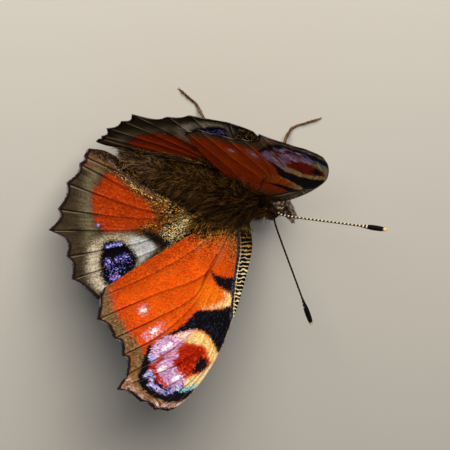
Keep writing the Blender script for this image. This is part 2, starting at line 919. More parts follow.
class WingSheet:
    """A wing's fine mesh and what is stored on it."""

    def __init__(self, plan: WingPlan, pose: WingPose, side: Side) -> None:
        """Keeps a wing's plan and works out where it stands.

        Args:
            plan: shape and pattern.
            pose: hinge and angles.
            side: of the body.
        """
        self.plan = plan
        self.side = side
        self.out, self.ahead, self.up = pose.axes(side)
        self.hinge = BODY.at(pose.hinge[0], side.value * pose.hinge[1], pose.hinge[2])
        self.shares = np.linspace(0, 1, plan.rows)
        gaps = len(plan.veins) - 1
        self.columns = np.linspace(0, gaps, gaps * plan.steps + 1)

    def in_space(self, local: Array) -> Array:
        """Local (out, ahead, up) places in mm, as places in the row's frame."""
        out, ahead, up = local[..., :1], local[..., 1:2], local[..., 2:]
        return self.hinge + out * self.out + ahead * self.ahead + up * self.up

    def facing(self, place: Array) -> Array:
        """The upward direction of the bent wing, from its slopes over a twentieth of a millimetre."""
        step = 0.05
        centre = self.plan.form(place[..., 0], place[..., 1])
        across = self.plan.form(place[..., 0] + step, place[..., 1]) - centre
        along = self.plan.form(place[..., 0], place[..., 1] + step) - centre
        return unit(np.cross(across, along))

    def vein_gap(self) -> tuple[Array, Array]:
        """For each corner the distance to its gap's nearer vein in mm, and how far it is between the two."""
        between = self.columns - np.floor(self.columns)
        between = np.where(self.columns == self.columns[-1], 1.0, between)
        lines = self.plan.lines(self.shares)
        widths = np.linalg.norm(np.diff(lines, axis=1), axis=-1)
        index = np.clip(self.columns.astype(int), 0, len(self.plan.veins) - 2)
        width = widths[:, index]
        nearer = np.minimum(between, 1 - between)[None]
        return width * nearer, np.broadcast_to(between[None], width.shape)

    def grown(self, per_vein: Sequence[float]) -> Array:
        """A value of the nearer vein of each column, where its ridge has started."""
        nearest = np.round(self.columns).astype(int)
        starts = np.array([vein.start for vein in self.plan.veins])[nearest]
        on = np.where(starts > 0, smoothstep(self.shares[:, None] - starts[None], -0.06, 0.02), 1.0)
        return np.array(per_vein)[nearest][None] * on

    def relief(self) -> Array:
        """The height of each corner over the flat wing in mm.

        Each vein is a ridge of the shape exp(-(d / ridge) squared), and the membrane sags between veins
        by sin(pi t), less where the veins are close and at the margin.
        """
        gap, between = self.vein_gap()
        ridges = self.grown([vein.ridge for vein in self.plan.veins])
        high, sag = self.plan.relief
        width = gap / np.maximum(np.minimum(between, 1 - between), 1e-3)
        fade = 1 - 0.6 * smoothstep(self.shares, 0.93, 1.0)[:, None]
        sagging = sag * np.clip(width / self.plan.full_sag, 0, 1) * np.sin(np.pi * between)
        return (high * ridges * np.exp(-(gap / self.plan.ridge) ** 2) - sagging) * fade

    def values(self, place: Array) -> dict[str, Array]:
        """What the wing's material reads: depths of the marks, veins, the costa and the margin.

        Args:
            place: (out, ahead) of each corner of the grid in mm.
        Returns:
            By name, one number or three for each corner.
        """
        plan = self.plan
        gap, between = self.vein_gap()
        width = gap / np.maximum(np.minimum(between, 1 - between), 1e-3)
        inner = self.grown([vein.ink[0] for vein in plan.veins])
        border = self.grown([vein.ink[1] for vein in plan.veins])
        towards = smoothstep(self.shares, 0.68, 0.82)[:, None]
        flat = place.reshape(-1, 2)
        costa = plan.lines(np.linspace(0, 1, 60))[:, -1]
        lengths = np.linalg.norm(np.diff(plan.lines(self.shares), axis=0), axis=-1).sum(0)
        length = np.interp(self.columns, np.arange(len(lengths)), lengths)[None]
        to_margin = (1 - self.shares)[:, None] * length
        band_width, band_end = plan.costal_band
        across = run_along(place[int(0.6 * len(place))])
        fan = np.stack(np.broadcast_arrays(across[None], self.shares[:, None] * length, 0.0), -1)
        found = {
            "vein_gap": gap.ravel(),
            "past_vein": (width * between).ravel(),
            "crease": (border * (1 - smoothstep(to_margin, 2.0, 3.6))).ravel(),
            "vein_ink": (inner * (1 - towards) + border * towards).ravel(),
            "margin": to_margin.ravel(),
            "costa": distance_to_line(flat, costa[:-1], costa[1:]),
            "band": band_width * (1 - (flat[:, 0] / band_end) ** 3).clip(0),
            "fan": fan.reshape(-1, 3),
            "plane": np.column_stack([flat, np.zeros(len(flat))]),
        }
        found.update({mark.name: mark.depth(flat) for mark in plan.marks})
        return found

    def build(self) -> Surface:
        """The wing as one closed sheet: an upper and a lower grid, joined round their edge.

        The root's corners are drawn in to the body's skin.
        """
        place = self.plan.places(self.shares, self.columns, self.plan.fringe)
        centre = self.plan.form(place[..., 0], place[..., 1])
        facing = self.facing(place)
        raised = self.relief()[..., None]
        thickness = self.plan.skin / 2 * (1 + 1.5 * (1 - smoothstep(self.shares, 0.0, 0.15)))[:, None, None]
        sheets = []
        for sign in (1.0, -1.0):
            corners = self.in_space(centre + facing * (raised + sign * thickness))
            body = corners[0] - BODY.origin
            corners[0, :, 0] = BODY.origin[0] + self.side.value * TRUNK.half_width(-body[:, 1], body[:, 2])
            sheets.append(corners.reshape(-1, 3))
        rows, columns = place.shape[:2]
        total = rows * columns
        upper = grid_faces(rows, columns)
        lower = upper[:, ::-1] + total
        ring = np.concatenate([
            np.arange(columns), np.arange(1, rows) * columns + columns - 1,
            total - 2 - np.arange(columns - 1), np.arange(rows - 2, 0, -1) * columns])
        after = np.roll(ring, -1)
        edge = np.stack([ring, ring + total, after + total, after], -1)
        doubled = {key: np.concatenate([array, array]) for key, array in self.values(place).items()}
        return outward(Surface(np.concatenate(sheets), [upper, lower, edge], doubled, None, [0, 1, 1]))

    def fringe(self, seed: int) -> Surface:
        """Two rows of narrow scales that stand out from the margin in the wing's own surface."""
        rng = np.random.default_rng(seed)
        last = len(self.plan.veins) - 1
        count = 1100
        columns = np.sort(rng.uniform(0.15, last - 0.25, count))
        place = self.plan.places(np.array([0.965, 0.985, 1.0]), columns, self.plan.fringe)
        local = self.plan.form(place[..., 0], place[..., 1])
        roots = self.in_space(local[1] * 0.25 + local[2] * 0.75)
        lies = self.in_space(local[2]) - self.in_space(local[0])
        facings = self.in_space(local[2] + self.facing(place[2])) - self.in_space(local[2])
        shortest, longest = 1.6 * self.plan.fringe, 2.5 * self.plan.fringe
        coat = Coat(length=(shortest, longest), width=0.13, lift=0.02, sink=0.0, scatter=0.1)
        unwrap = np.column_stack([0.05 + 0.9 * columns / last, rng.uniform(0.1, 0.9, count)])
        beat = 0.5 + 0.5 * np.sin(columns * 2 * np.pi)
        tone = np.clip(beat + rng.normal(0, 0.15, count), 0, 1)
        return tufts(roots, facings, lies, unwrap, coat, seed + 1, tone)

    def hair(self, down: Down, seed: int) -> Surface:
        """One coat of hair on the upper side, lying along the veins but for its own turn.

        Args:
            down: where it grows, how thick it is and how it lies.
            seed: of the wing's random draws.
        Returns:
            The tufts.
        """
        rng = np.random.default_rng(seed + down.shift)
        last = len(self.plan.veins) - 1
        shares = np.sqrt(rng.uniform(0.0, down.reach, down.count))
        columns = rng.uniform(last * down.span[0], last * down.span[1], down.count)
        index = np.clip(columns.astype(int), 0, last - 1)
        between = (columns - index)[:, None]
        row = np.arange(down.count)
        here, further = (self.plan.lines(along) for along in (shares, shares + 0.02))
        place = here[row, index] * (1 - between) + here[row, index + 1] * between
        onward = further[row, index] * (1 - between) + further[row, index + 1] * between - place
        kept = rng.random(down.count) < down.density(place)
        place, onward = place[kept], onward[kept]
        cosine, sine = math.cos(down.lie_turn), math.sin(down.lie_turn)
        end = place + onward @ np.array([[cosine, sine], [-sine, cosine]])
        local = self.plan.form(place[:, 0], place[:, 1])
        roots = self.in_space(local + self.facing(place) * self.plan.hair_height)
        facings = self.in_space(local + self.facing(place)) - self.in_space(local)
        lies = self.in_space(self.plan.form(end[:, 0], end[:, 1])) - self.in_space(local)
        unwrap = 0.02 + 0.96 * np.column_stack([columns[kept] / last, shares[kept]])
        return tufts(roots, facings, lies, unwrap, down.coat, seed + down.shift + 1)


def spot(out: float, ahead: float, reach: float = 0.1) -> Path:
    """A short line that stands for a round spot."""
    return ((out - reach, ahead), (out + reach, ahead))


FOREWING_VEINS = (
    Vein(0.0, 0.0, ((0, 0, -1.3), (0.28, 3.3, -4.6), (0.6, 8.6, -9.1), (1, 14.6, -13.75)), ink=(0, 0)),
    Vein(1.0, 0.15, ((0, 0, -0.95), (0.28, 4.4, -3.0), (0.6, 9.7, -7.2), (1, 16.0, -13.85)),
         ink=(0.5, 0.6)),
    Vein(1.0, 0.5, ((0, 0, -0.6), (0.2, 4.4, -0.75), (0.4, 8.7, -1.3), (0.7, 13.6, -7.0), (1, 19.1, -13.0)),
         0.36),
    Vein(1.0, 0.7, ((0, 0, -0.3), (0.2, 4.5, -0.45), (0.4, 8.9, -0.95), (0.54, 12.1, -1.5),
         (0.76, 16.6, -5.4), (1, 21.0, -9.8))),
    Vein(1.0, 0.85, ((0, 0, 0), (0.2, 4.5, -0.15), (0.4, 9.0, -0.6), (0.54, 12.6, -1.0), (0.76, 18.2, -3.6),
         (1, 23.0, -7.8)), 0.5, ink=(0.4, 0.9)),
    Vein(1.0, 0.45, ((0, 0, 0.3), (0.2, 4.5, 0.35), (0.4, 9.0, 0.3), (0.54, 13.2, 0.5), (0.76, 19.0, -0.9),
         (1, 25.5, -6.2)), 0.5, ink=(0.1, 0.8)),
    Vein(1.0, 0.4, ((0, 0, 0.6), (0.2, 4.5, 0.95), (0.4, 9.0, 1.4), (0.54, 13.3, 1.7), (0.76, 20.2, 1.3),
         (1, 27.8, -6.7)), 0.5, ink=(0.1, 0.7)),
    Vein(1.0, 0.3, ((0, 0, 0.9), (0.2, 4.6, 1.6), (0.4, 9.2, 2.35), (0.54, 13.2, 2.7), (0.76, 20.8, 3.0),
         (1, 28.5, -3.0)), 0.5, ink=(0.1, 0.5)),
    Vein(1.0, 0.1, ((0, 0, 1.2), (0.2, 4.6, 1.9), (0.4, 9.1, 2.75), (0.54, 13.2, 3.1), (0.76, 21.2, 3.7),
         (1, 29.1, -0.6)), 0.6, ink=(0.1, 0.5)),
    Vein(0.7, 0.0, ((0, 0, 1.45), (0.2, 4.4, 2.5), (0.4, 8.9, 3.4), (0.54, 13.0, 3.75), (0.76, 20.6, 4.15),
         (1, 28.7, 1.3)), ink=(0.1, 0.4)),
    Vein(1.0, 0.0, ((0, 0, 1.8), (0.12, 2.9, 3.4), (0.28, 7.0, 4.25), (0.54, 14.4, 4.95),
         (0.76, 20.6, 4.75), (0.92, 25.9, 3.3), (1, 27.9, 2.15)), ink=(0.6, 0.6)),
)

HINDWING_VEINS = (
    Vein(0.0, 0.0, ((0, 0.1, -1.9), (0.25, 0.8, -5.8), (0.6, -0.7, -12.4), (0.88, -2.2, -17.4),
         (1, -1.9, -19.7)), ink=(0, 0)),
    Vein(0.8, 0.3, ((0, 0.1, -1.6), (0.25, 1.4, -5.6), (0.6, 0.3, -12.2), (1, -0.7, -19.9))),
    Vein(1.0, 0.55, ((0, 0.1, -1.3), (0.25, 2.2, -5.3), (0.6, 1.8, -12.3), (1, 0.5, -20.1))),
    Vein(1.0, 0.55, ((0, 0.1, -1.0), (0.25, 3.2, -5.0), (0.5, 4.0, -9.6), (1, 3.5, -20.8))),
    Vein(1.0, 0.8, ((0, 0.1, -0.7), (0.25, 3.6, -4.7), (0.5, 5.3, -9.4), (1, 7.3, -20.5))),
    Vein(1.0, 1.3, ((0, 0.1, -0.4), (0.25, 4.0, -4.4), (0.5, 6.6, -8.5), (1, 10.5, -20.6))),
    Vein(1.0, 0.55, ((0, 0.1, -0.1), (0.25, 4.7, -3.8), (0.5, 7.9, -7.2), (1, 13.3, -16.9)), 0.42),
    Vein(1.0, 0.2, ((0, 0.1, 0.2), (0.25, 5.2, -3.0), (0.5, 9.0, -5.8), (1, 16.1, -15.0))),
    Vein(1.0, 0.0, ((0, 0.1, 0.5), (0.25, 5.4, -2.3), (0.5, 9.7, -4.5), (1, 17.9, -10.3))),
    Vein(0.7, 0.0, ((0, 0.1, 0.8), (0.25, 5.0, 0.1), (0.5, 10.0, -1.3), (0.8, 15.4, -3.8), (1, 17.6, -6.4)),
         ink=(0.3, 0.3)),
)

BORDER_LINE = ((13.7, -13.3), (14.7, -12.9), (16.2, -11.9), (17.5, -10.8), (18.7, -9.3), (20.2, -7.1),
               (21.3, -5.3), (22.3, -4.2), (23.6, -3.8))
RIM_LINE = ((25.1, -4.1), (26.1, -3.1), (26.7, -1.5), (27.0, 0.1), (26.7, 1.6), (25.9, 2.8), (25.0, 3.8),
            (24.2, 4.3))

FOREWING_MARKS = (
    Mark("grain", Form.PATCH, (((-1.0, 5.0), (29.0, 6.0), (29.0, -18.0), (5.0, -16.0)),), "#E8761C",
         (("#BE4208", 0.4),), cover=0.22),
    Mark("root_tint", Form.PATCH, (((1.0, -3.0), (6.0, -7.0), (12.0, -12.5), (15.6, -12.6), (10.4, -6.6),
         (7.4, -2.6), (7.6, 3.6), (2.0, 3.0)),), "#A83A08", (("#D4641A", 0.3),), soft=1.2, stray=0.6,
         cover=0.6),
    Mark("redder", Form.STROKE, (BORDER_LINE,), "#BE3F0E", half_width=1.4, soft=1.3, stray=0.7, cover=0.8),
    Mark("rear_strip", Form.PATCH, (((0.5, -1.4), (4.6, -3.6), (10.4, -8.0), (16.3, -13.4), (14.0, -14.6),
         (8.0, -9.6), (2.5, -5.0)),), "#A83C08", soft=0.9, stray=0.4, cover=0.75),
    Mark("border", Form.PATCH,
         (BORDER_LINE + tuple((out - 0.6, ahead) for out, ahead in RIM_LINE) + ((25.0, 6.0), (31.0, 3.0),
         (32.0, -5.0), (28.5, -10.5), (24.0, -15.0), (18.5, -18.0), (12.6, -15.5)),), "#72573A",
         (("#58422A", 0.3), ("#8E734C", 0.2)), soft=0.35, stray=0.55),
    Mark("rust", Form.STROKE, (((22.6, -6.6), (25.2, -5.8), (27.2, -3.4), (27.9, -0.6)),), "#93602E",
         (("#6E4420", 0.25),), 0.6, 0.5, 0.5, 0.7),
    Mark("apex", Form.STROKE, (((25.6, 4.2), (27.6, 2.4), (28.9, -0.6), (28.7, -3.4), (26.6, -6.8)),),
         "#D2ABA2", (("#94705A", 0.25), ("#E0C4C8", 0.12)), 1.1, 0.9, 0.6, 0.8),
    Mark("base", Form.PATCH, (((-1.0, -3.0), (3.4, -5.0), (4.4, -2.4), (3.6, -1.0), (4.2, 0.6), (5.8, 2.2),
         (5.6, 3.4), (3.0, 4.0), (-1.0, 3.0)),), "#120D09", (("#B8842C", 0.27), ("#C8A868", 0.03)),
         soft=0.4, stray=1.6),
    Mark("stem_dust", Form.STROKE, (((3.0, -0.4), (4.6, -0.4), (6.4, -0.5)), ((3.4, -2.6), (5.6, -3.6))),
         "#C88848", (("#8A7E90", 0.2), ("#B85A1C", 0.4)), 0.3, 0.5, 0.4, 0.4),
    Mark("stem_line", Form.STROKE, (((5.6, -0.75), (7.5, -1.0), (9.1, -1.15), (10.2, -1.2)),), "#280C08",
         half_width=0.09, soft=0.08, stray=0.05),
    Mark("glow", Form.PATCH, (((10.6, -1.2), (9.6, -0.1), (10.2, 1.9), (11.1, 2.6), (12.2, 2.0),
         (13.2, 0.6), (13.1, -0.5)),), "#E8740F", (("#DA600E", 0.35),), soft=1.0, stray=0.4),
    Mark("cell_patch", Form.PATCH, (((8.1, -0.6), (8.3, 0.2), (8.3, 1.5), (8.0, 2.4), (7.6, 3.1),
         (8.4, 3.9), (10.7, 3.9), (10.5, 3.2), (10.0, 2.1), (9.7, 1.1), (9.0, 0.1)),), "#110B10",
         (("#3A2418", 0.05),), soft=0.15),
    Mark("wedge", Form.PATCH, (((10.4, 2.4), (10.5, 3.4), (10.6, 5.6), (12.0, 5.6), (12.4, 3.0),
         (13.0, 1.6), (13.5, 0.3), (12.7, 1.5), (11.9, 2.4), (11.2, 2.9)),), "#E6D6A4",
         (("#F2A93C", 0.28),), soft=0.4, stray=0.35),
    Mark("great_patch", Form.PATCH, (((19.6, -4.3), (17.7, -2.5), (16.1, -1.3), (14.5, -0.7), (13.7, 0.0),
         (13.3, 1.5), (12.7, 2.9), (11.9, 4.0), (12.6, 6.0), (17.2, 6.2), (19.8, 5.6), (19.1, 4.7),
         (18.1, 3.8), (17.1, 2.8), (16.5, 1.6), (16.5, 0.6), (16.8, -0.2), (17.7, -1.5)),), "#0C090F",
         (("#232838", 0.12),), soft=0.12, stray=0.2),
    Mark("inner_band", Form.PATCH, (((19.4, -3.4), (18.6, -2.6), (17.6, -1.4), (16.8, -0.1), (16.6, 0.7),
         (17.6, 0.4), (18.5, -0.3), (18.8, -1.8)),), "#E6C3B4", (("#F2DECE", 0.3), ("#D89CAE", 0.2)),
         soft=0.15),
    Mark("gold", Form.PATCH, (((18.5, -0.3), (17.0, 0.4), (16.6, 1.4), (17.1, 2.7), (18.2, 4.1),
         (19.3, 4.9), (20.3, 4.6), (19.9, 3.8), (19.0, 3.1), (18.5, 2.4), (18.7, 1.3), (18.9, 0.4)),),
         "#EACB82", (("#E9A640", 0.25), ("#F0DEB4", 0.2)), soft=0.25),
    Mark("core", Form.PATCH, (((19.2, -0.4), (18.5, 0.4), (18.6, 1.4), (18.6, 2.4), (19.2, 3.1),
         (20.4, 2.9), (21.4, 2.5), (22.6, 2.1), (23.5, 1.8), (23.2, 0.8), (22.5, -0.2), (21.9, -1.0),
         (20.8, -1.1)),), "#A01A04", (("#B8340A", 0.2), ("#801404", 0.2)), soft=0.4, stray=0.35),
    Mark("costal_cream", Form.PATCH, (((23.8, 1.8), (22.9, 2.7), (22.0, 3.7), (21.2, 4.0), (20.3, 4.5),
         (19.3, 4.8), (20.0, 6.2), (24.5, 5.4), (25.4, 3.6), (24.6, 2.0)),), "#E4CE98",
         (("#C6A56A", 0.15),), soft=0.25, stray=0.2),
    Mark("rim_inside", Form.PATCH, (((20.6, -4.6), (22.7, -4.6), (23.9, -4.5)) + RIM_LINE + ((24.6, 3.2),
         (24.9, 2.0), (24.2, 0.4), (22.8, -1.2), (20.4, -2.6)),), "#100C14", (("#7A1E0C", 0.1),), soft=0.2,
         stray=0.1),
    Mark("rim", Form.STROKE, (((20.6, -4.4), (21.8, -4.4), (22.7, -4.3), (23.9, -4.2)) + RIM_LINE,),
         "#100C14", half_width=0.55, soft=0.1, stray=0.2),
    Mark("lilac", Form.PATCH, (((22.0, -4.1), (20.4, -4.3), (19.2, -3.7), (18.4, -2.8), (18.4, -1.7),
         (18.8, -0.6), (20.2, -1.1), (21.4, -2.1), (22.5, -3.2)), ((22.7, -3.3), (21.6, -2.0), (20.4, -1.0),
         (20.4, -0.5), (21.8, -0.8), (22.5, -0.2), (23.0, 0.7), (23.6, 1.9), (24.5, 1.4), (25.5, 0.3),
         (25.5, -0.8), (24.3, -2.1))), "#BC88C0", (("#DCC2E0", 0.3), ("#A8688E", 0.1), ("#6A3A58", 0.03)),
         soft=0.2, stray=0.35),
    Mark("tail", Form.STROKE, (((22.9, -3.5), (23.4, -2.9), (24.3, -2.3), (24.8, -1.1), (25.3, -0.4)),
         ((21.6, -2.6), (23.4, -3.2))), "#B0260A", (("#D8501E", 0.2),), 0.3, 0.2, 0.25),
    Mark("small_patch", Form.PATCH, (((20.0, 2.7), (20.0, 3.5), (20.8, 4.1), (21.8, 3.7), (22.5, 2.9),
         (22.4, 2.3), (21.6, 2.4), (20.7, 2.5)),), "#1A1018", soft=0.18, stray=0.25),
    Mark("strokes", Form.STROKE, (((21.9, -4.0), (22.4, -3.5)), ((24.7, -3.6), (24.1, -3.2), (25.0, -2.6)),
         ((25.6, -2.6), (26.1, -1.4), (26.2, -0.5)), ((26.2, 0.1), (25.5, 0.9), (24.7, 1.6))), "#9490D8",
         (("#C6C0EC", 0.3), ("#3A3470", 0.15)), 0.36, 0.15, 0.2),
    Mark("turquoise", Form.STROKE, (((25.3, 1.7), (24.9, 2.6), (24.3, 3.4)),), "#68B4C4", (("#A8D8D8", 0.3),
         ("#1E4A5C", 0.15)), 0.34, 0.15, 0.2),
    Mark("spot_halo", Form.STROKE, (((19.3, -5.7), (18.4, -4.9), (17.5, -4.3)), spot(16.0, -7.5)),
         "#D98AA4", (("#F0CCDA", 0.2),), 0.52, 0.4, 0.4, 0.7),
    Mark("spots", Form.STROKE, (((16.1, -7.7), (15.9, -7.3)), ((18.5, -5.1), (18.0, -4.7)), ((20.5, -2.8),
         (19.4, -2.1)), ((23.4, -2.1), (22.8, -1.7)), ((24.3, 0.2), (23.8, 0.6))), "#F2EEF2",
         half_width=0.26, soft=0.1, stray=0.15),
)

HINDWING_MARKS = (
    Mark("pale_zone", Form.STROKE, (((0.6, -17.6), (3.5, -17.6), (6.8, -16.6), (8.9, -15.2),
         (10.4, -14.8)),), "#645C46", (("#5A523E", 0.3),), 0.8, 0.9, 0.2),
    Mark("anal_tint", Form.PATCH, (((-3.0, -16.0), (0.2, -16.4), (0.4, -20.5), (-3.0, -20.5)),), "#684C34",
         (("#523A28", 0.3),), soft=0.7, stray=0.4),
    Mark("orange", Form.PATCH, (((1.5, -16.5), (0.4, -15.5), (0.8, -13.8), (1.4, -12.2), (2.1, -10.3),
         (3.3, -8.2), (4.9, -7.0), (6.5, -8.7), (7.4, -10.0), (8.3, -11.5), (8.6, -12.8), (8.0, -13.9),
         (7.6, -14.9), (6.3, -15.7), (5.3, -16.2), (4.4, -16.7), (3.3, -16.9), (2.3, -16.4)),), "#9A3006",
         (("#8A2A06", 0.3), ("#B04410", 0.15)), soft=0.45, stray=0.35),
    Mark("ember", Form.PATCH, (((1.0, -13.4), (2.4, -10.0), (4.6, -7.4), (7.0, -9.0), (6.8, -6.6),
         (4.6, -5.0), (2.2, -6.4), (1.0, -10.0)),), "#7E380E", (("#1A100A", 0.38), ("#C88A2A", 0.12)),
         soft=0.7, stray=0.8),
    Mark("speckled", Form.PATCH, (((-1.0, -3.0), (0.4, -8.0), (1.6, -8.4), (3.4, -6.6), (5.2, -5.8),
         (7.4, -4.4), (10.5, -5.0), (17.5, -8.0), (19.0, -5.0), (10.0, 0.5), (4.0, 1.5), (-1.0, 2.0)),),
         "#130E0A", (("#BE842A", 0.16), ("#EADDA8", 0.03)), soft=0.4, stray=0.8),
    Mark("cream_specks", Form.STROKE, (((4.0, -3.4), (5.6, -4.0), (7.2, -4.9)),), "#16100C",
         (("#D8A448", 0.17), ("#EFE4BC", 0.17)), 0.9, 0.6, 0.6),
    Mark("root_shade", Form.PATCH, (((-1.0, -6.0), (1.6, -5.6), (2.6, -2.4), (2.2, 1.5), (-1.0, 2.0)),),
         "#181009", (("#7A5420", 0.12),), soft=0.8, stray=0.5),
    Mark("fold_dark", Form.STROKE, (((-2.4, -19.0), (-1.9, -16.4), (-1.0, -13.8), (0.1, -9.0),
         (0.9, -5.0)),), "#20160E", (("#4A3622", 0.25),), 1.1, 0.35, 0.3),
    Mark("fold_gold", Form.STROKE, (((-0.3, -16.0), (0.5, -13.8), (1.2, -12.1), (1.8, -10.5), (2.1, -8.5),
         (2.2, -6.5)),), "#3E2A16", (("#C08E36", 0.22), ("#DCC794", 0.08)), 0.35, 0.4, 0.4, 0.85),
    Mark("fold_pink", Form.STROKE, (((-0.9, -16.3), (-0.1, -14.0), (0.6, -12.2), (1.2, -10.4),
         (1.5, -8.6)),), "#7E6052", (("#4A362C", 0.35),), 0.2, 0.25, 0.3, 0.85),
    Mark("halo", Form.PATCH, (((11.2, -14.4), (9.1, -13.2), (8.2, -11.2), (7.8, -9.6), (8.3, -8.2),
         (10.0, -6.6), (12.5, -7.0), (15.6, -8.6), (16.7, -10.5), (15.4, -12.8), (13.3, -13.9)),),
         "#948A75", (("#B6AC96", 0.25), ("#7A705C", 0.2)), soft=0.8, stray=0.2),
    Mark("halo_light", Form.STROKE, (((11.4, -13.4), (13.2, -13.0), (14.8, -12.0), (16.0, -10.6)),),
         "#C6BCAC", (("#9E9486", 0.25),), 0.5, 0.5, 0.3, 0.85),
    Mark("pale_patch", Form.PATCH, (((8.6, -9.6), (7.9, -8.9), (7.7, -7.5), (8.0, -6.3), (8.8, -5.7),
         (10.0, -6.3), (10.9, -7.2), (9.8, -8.6)),), "#B2B5B8", (("#92979E", 0.25),), soft=0.45,
         stray=0.15),
    Mark("black_mark", Form.PATCH, (((6.8, -8.4), (6.5, -7.2), (6.9, -5.4), (7.3, -4.0), (8.3, -4.6),
         (8.1, -5.7), (7.7, -6.9)),), "#140C0A", soft=0.35, stray=0.35),
    Mark("eyespot", Form.PATCH, (((10.2, -12.8), (9.5, -12.2), (9.1, -11.3), (9.0, -10.3), (9.6, -9.0),
         (10.5, -7.6), (12.2, -7.3), (14.4, -8.5), (15.6, -9.8), (14.8, -11.2), (12.3, -12.4)),), "#08070C",
         soft=0.35, stray=0.25),
    Mark("blue_bar", Form.STROKE, (((10.4, -12.2), (9.9, -11.4), (9.5, -10.5)), spot(7.9, -14.4, 0.03)),
         "#7674DA", (("#A8A6EE", 0.25), ("#2A2660", 0.1)), 0.2, 0.08, 0.12),
    Mark("blue_specks", Form.STROKE, (((14.1, -10.1), (13.2, -9.3), (12.1, -8.5)), ((13.2, -10.9),
         (12.2, -9.7), (11.1, -8.7))), "#6A66D6", (("#A09CEA", 0.25), ("#B070C0", 0.08), ("#4AA0C0", 0.06)),
         0.4, 0.35, 0.45, 0.24),
    Mark("blue_clusters", Form.STROKE, (((12.3, -11.2), (12.9, -10.9)), ((11.6, -9.9), (10.9, -9.2)),
         ((14.5, -9.7), (14.0, -9.0))), "#7874DC", (("#A8A4F0", 0.3), ("#B070C0", 0.06)), 0.26, 0.2, 0.35,
         0.75),
)

FLAT_DOWN = Coat(length=(0.35, 0.9), width=0.09, lift=0.2, sink=0.03, scatter=0.35)
INNER_DOWN = Coat(length=(0.8, 1.8), width=0.1, lift=0.15, sink=0.03, scatter=0.35)
FORE_COSTAL_DOWN = Coat(length=(0.6, 1.2), width=0.09, lift=0.3, sink=0.03, scatter=0.5)
HIND_COSTAL_DOWN = Coat(length=(1.1, 2.2), width=0.1, lift=0.9, sink=0.03, scatter=0.6)
REARWARDS = (0.0, -1.0)
OUTWARDS = (1.0, 0.0)
FOREWING = WingPlan("forewing", FOREWING_VEINS, forewing_form, FOREWING_MARKS, (
    Down("hair", 7, 20000, (0.87, 2.9), FLAT_DOWN, -0.2),
    Down("inner_hair", 9, 6000, (1.2, 3.4), INNER_DOWN, -0.8, REARWARDS, (0.0, 0.09)),
    Down("costal_hair", 11, 2800, (0.2, 1.6), FORE_COSTAL_DOWN, -0.3, OUTWARDS, (0.78, 0.99), 0.08),
))
HINDWING = WingPlan("hindwing", HINDWING_VEINS, hindwing_form, HINDWING_MARKS, (
    Down("hair", 7, 20000, (1.38, 4.6), FLAT_DOWN, -0.2),
    Down("inner_hair", 9, 6000, (9.0, 15.5), INNER_DOWN, -0.8, REARWARDS, (0.0, 0.09)),
    Down("costal_hair", 11, 2800, (2.6, 3.8), HIND_COSTAL_DOWN, -0.3, OUTWARDS, (0.74, 0.99), 0.08),
), costal_band=(0.0, 1.0))
POSES = {
    (FOREWING.name, Side.RIGHT): WingPose((0.0, 2.55, 0.85), 28.8, 0.0, 4.0),
    (FOREWING.name, Side.LEFT): WingPose((0.0, 2.6, 1.0), 32.0, 13.0, 8.8),
    (HINDWING.name, Side.RIGHT): WingPose((-2.95, 2.2, -0.7), 27.2, 0.0, 3.6),
    (HINDWING.name, Side.LEFT): WingPose((-2.8, 2.2, -0.75), 24.5, 0.0, 2.4),
}


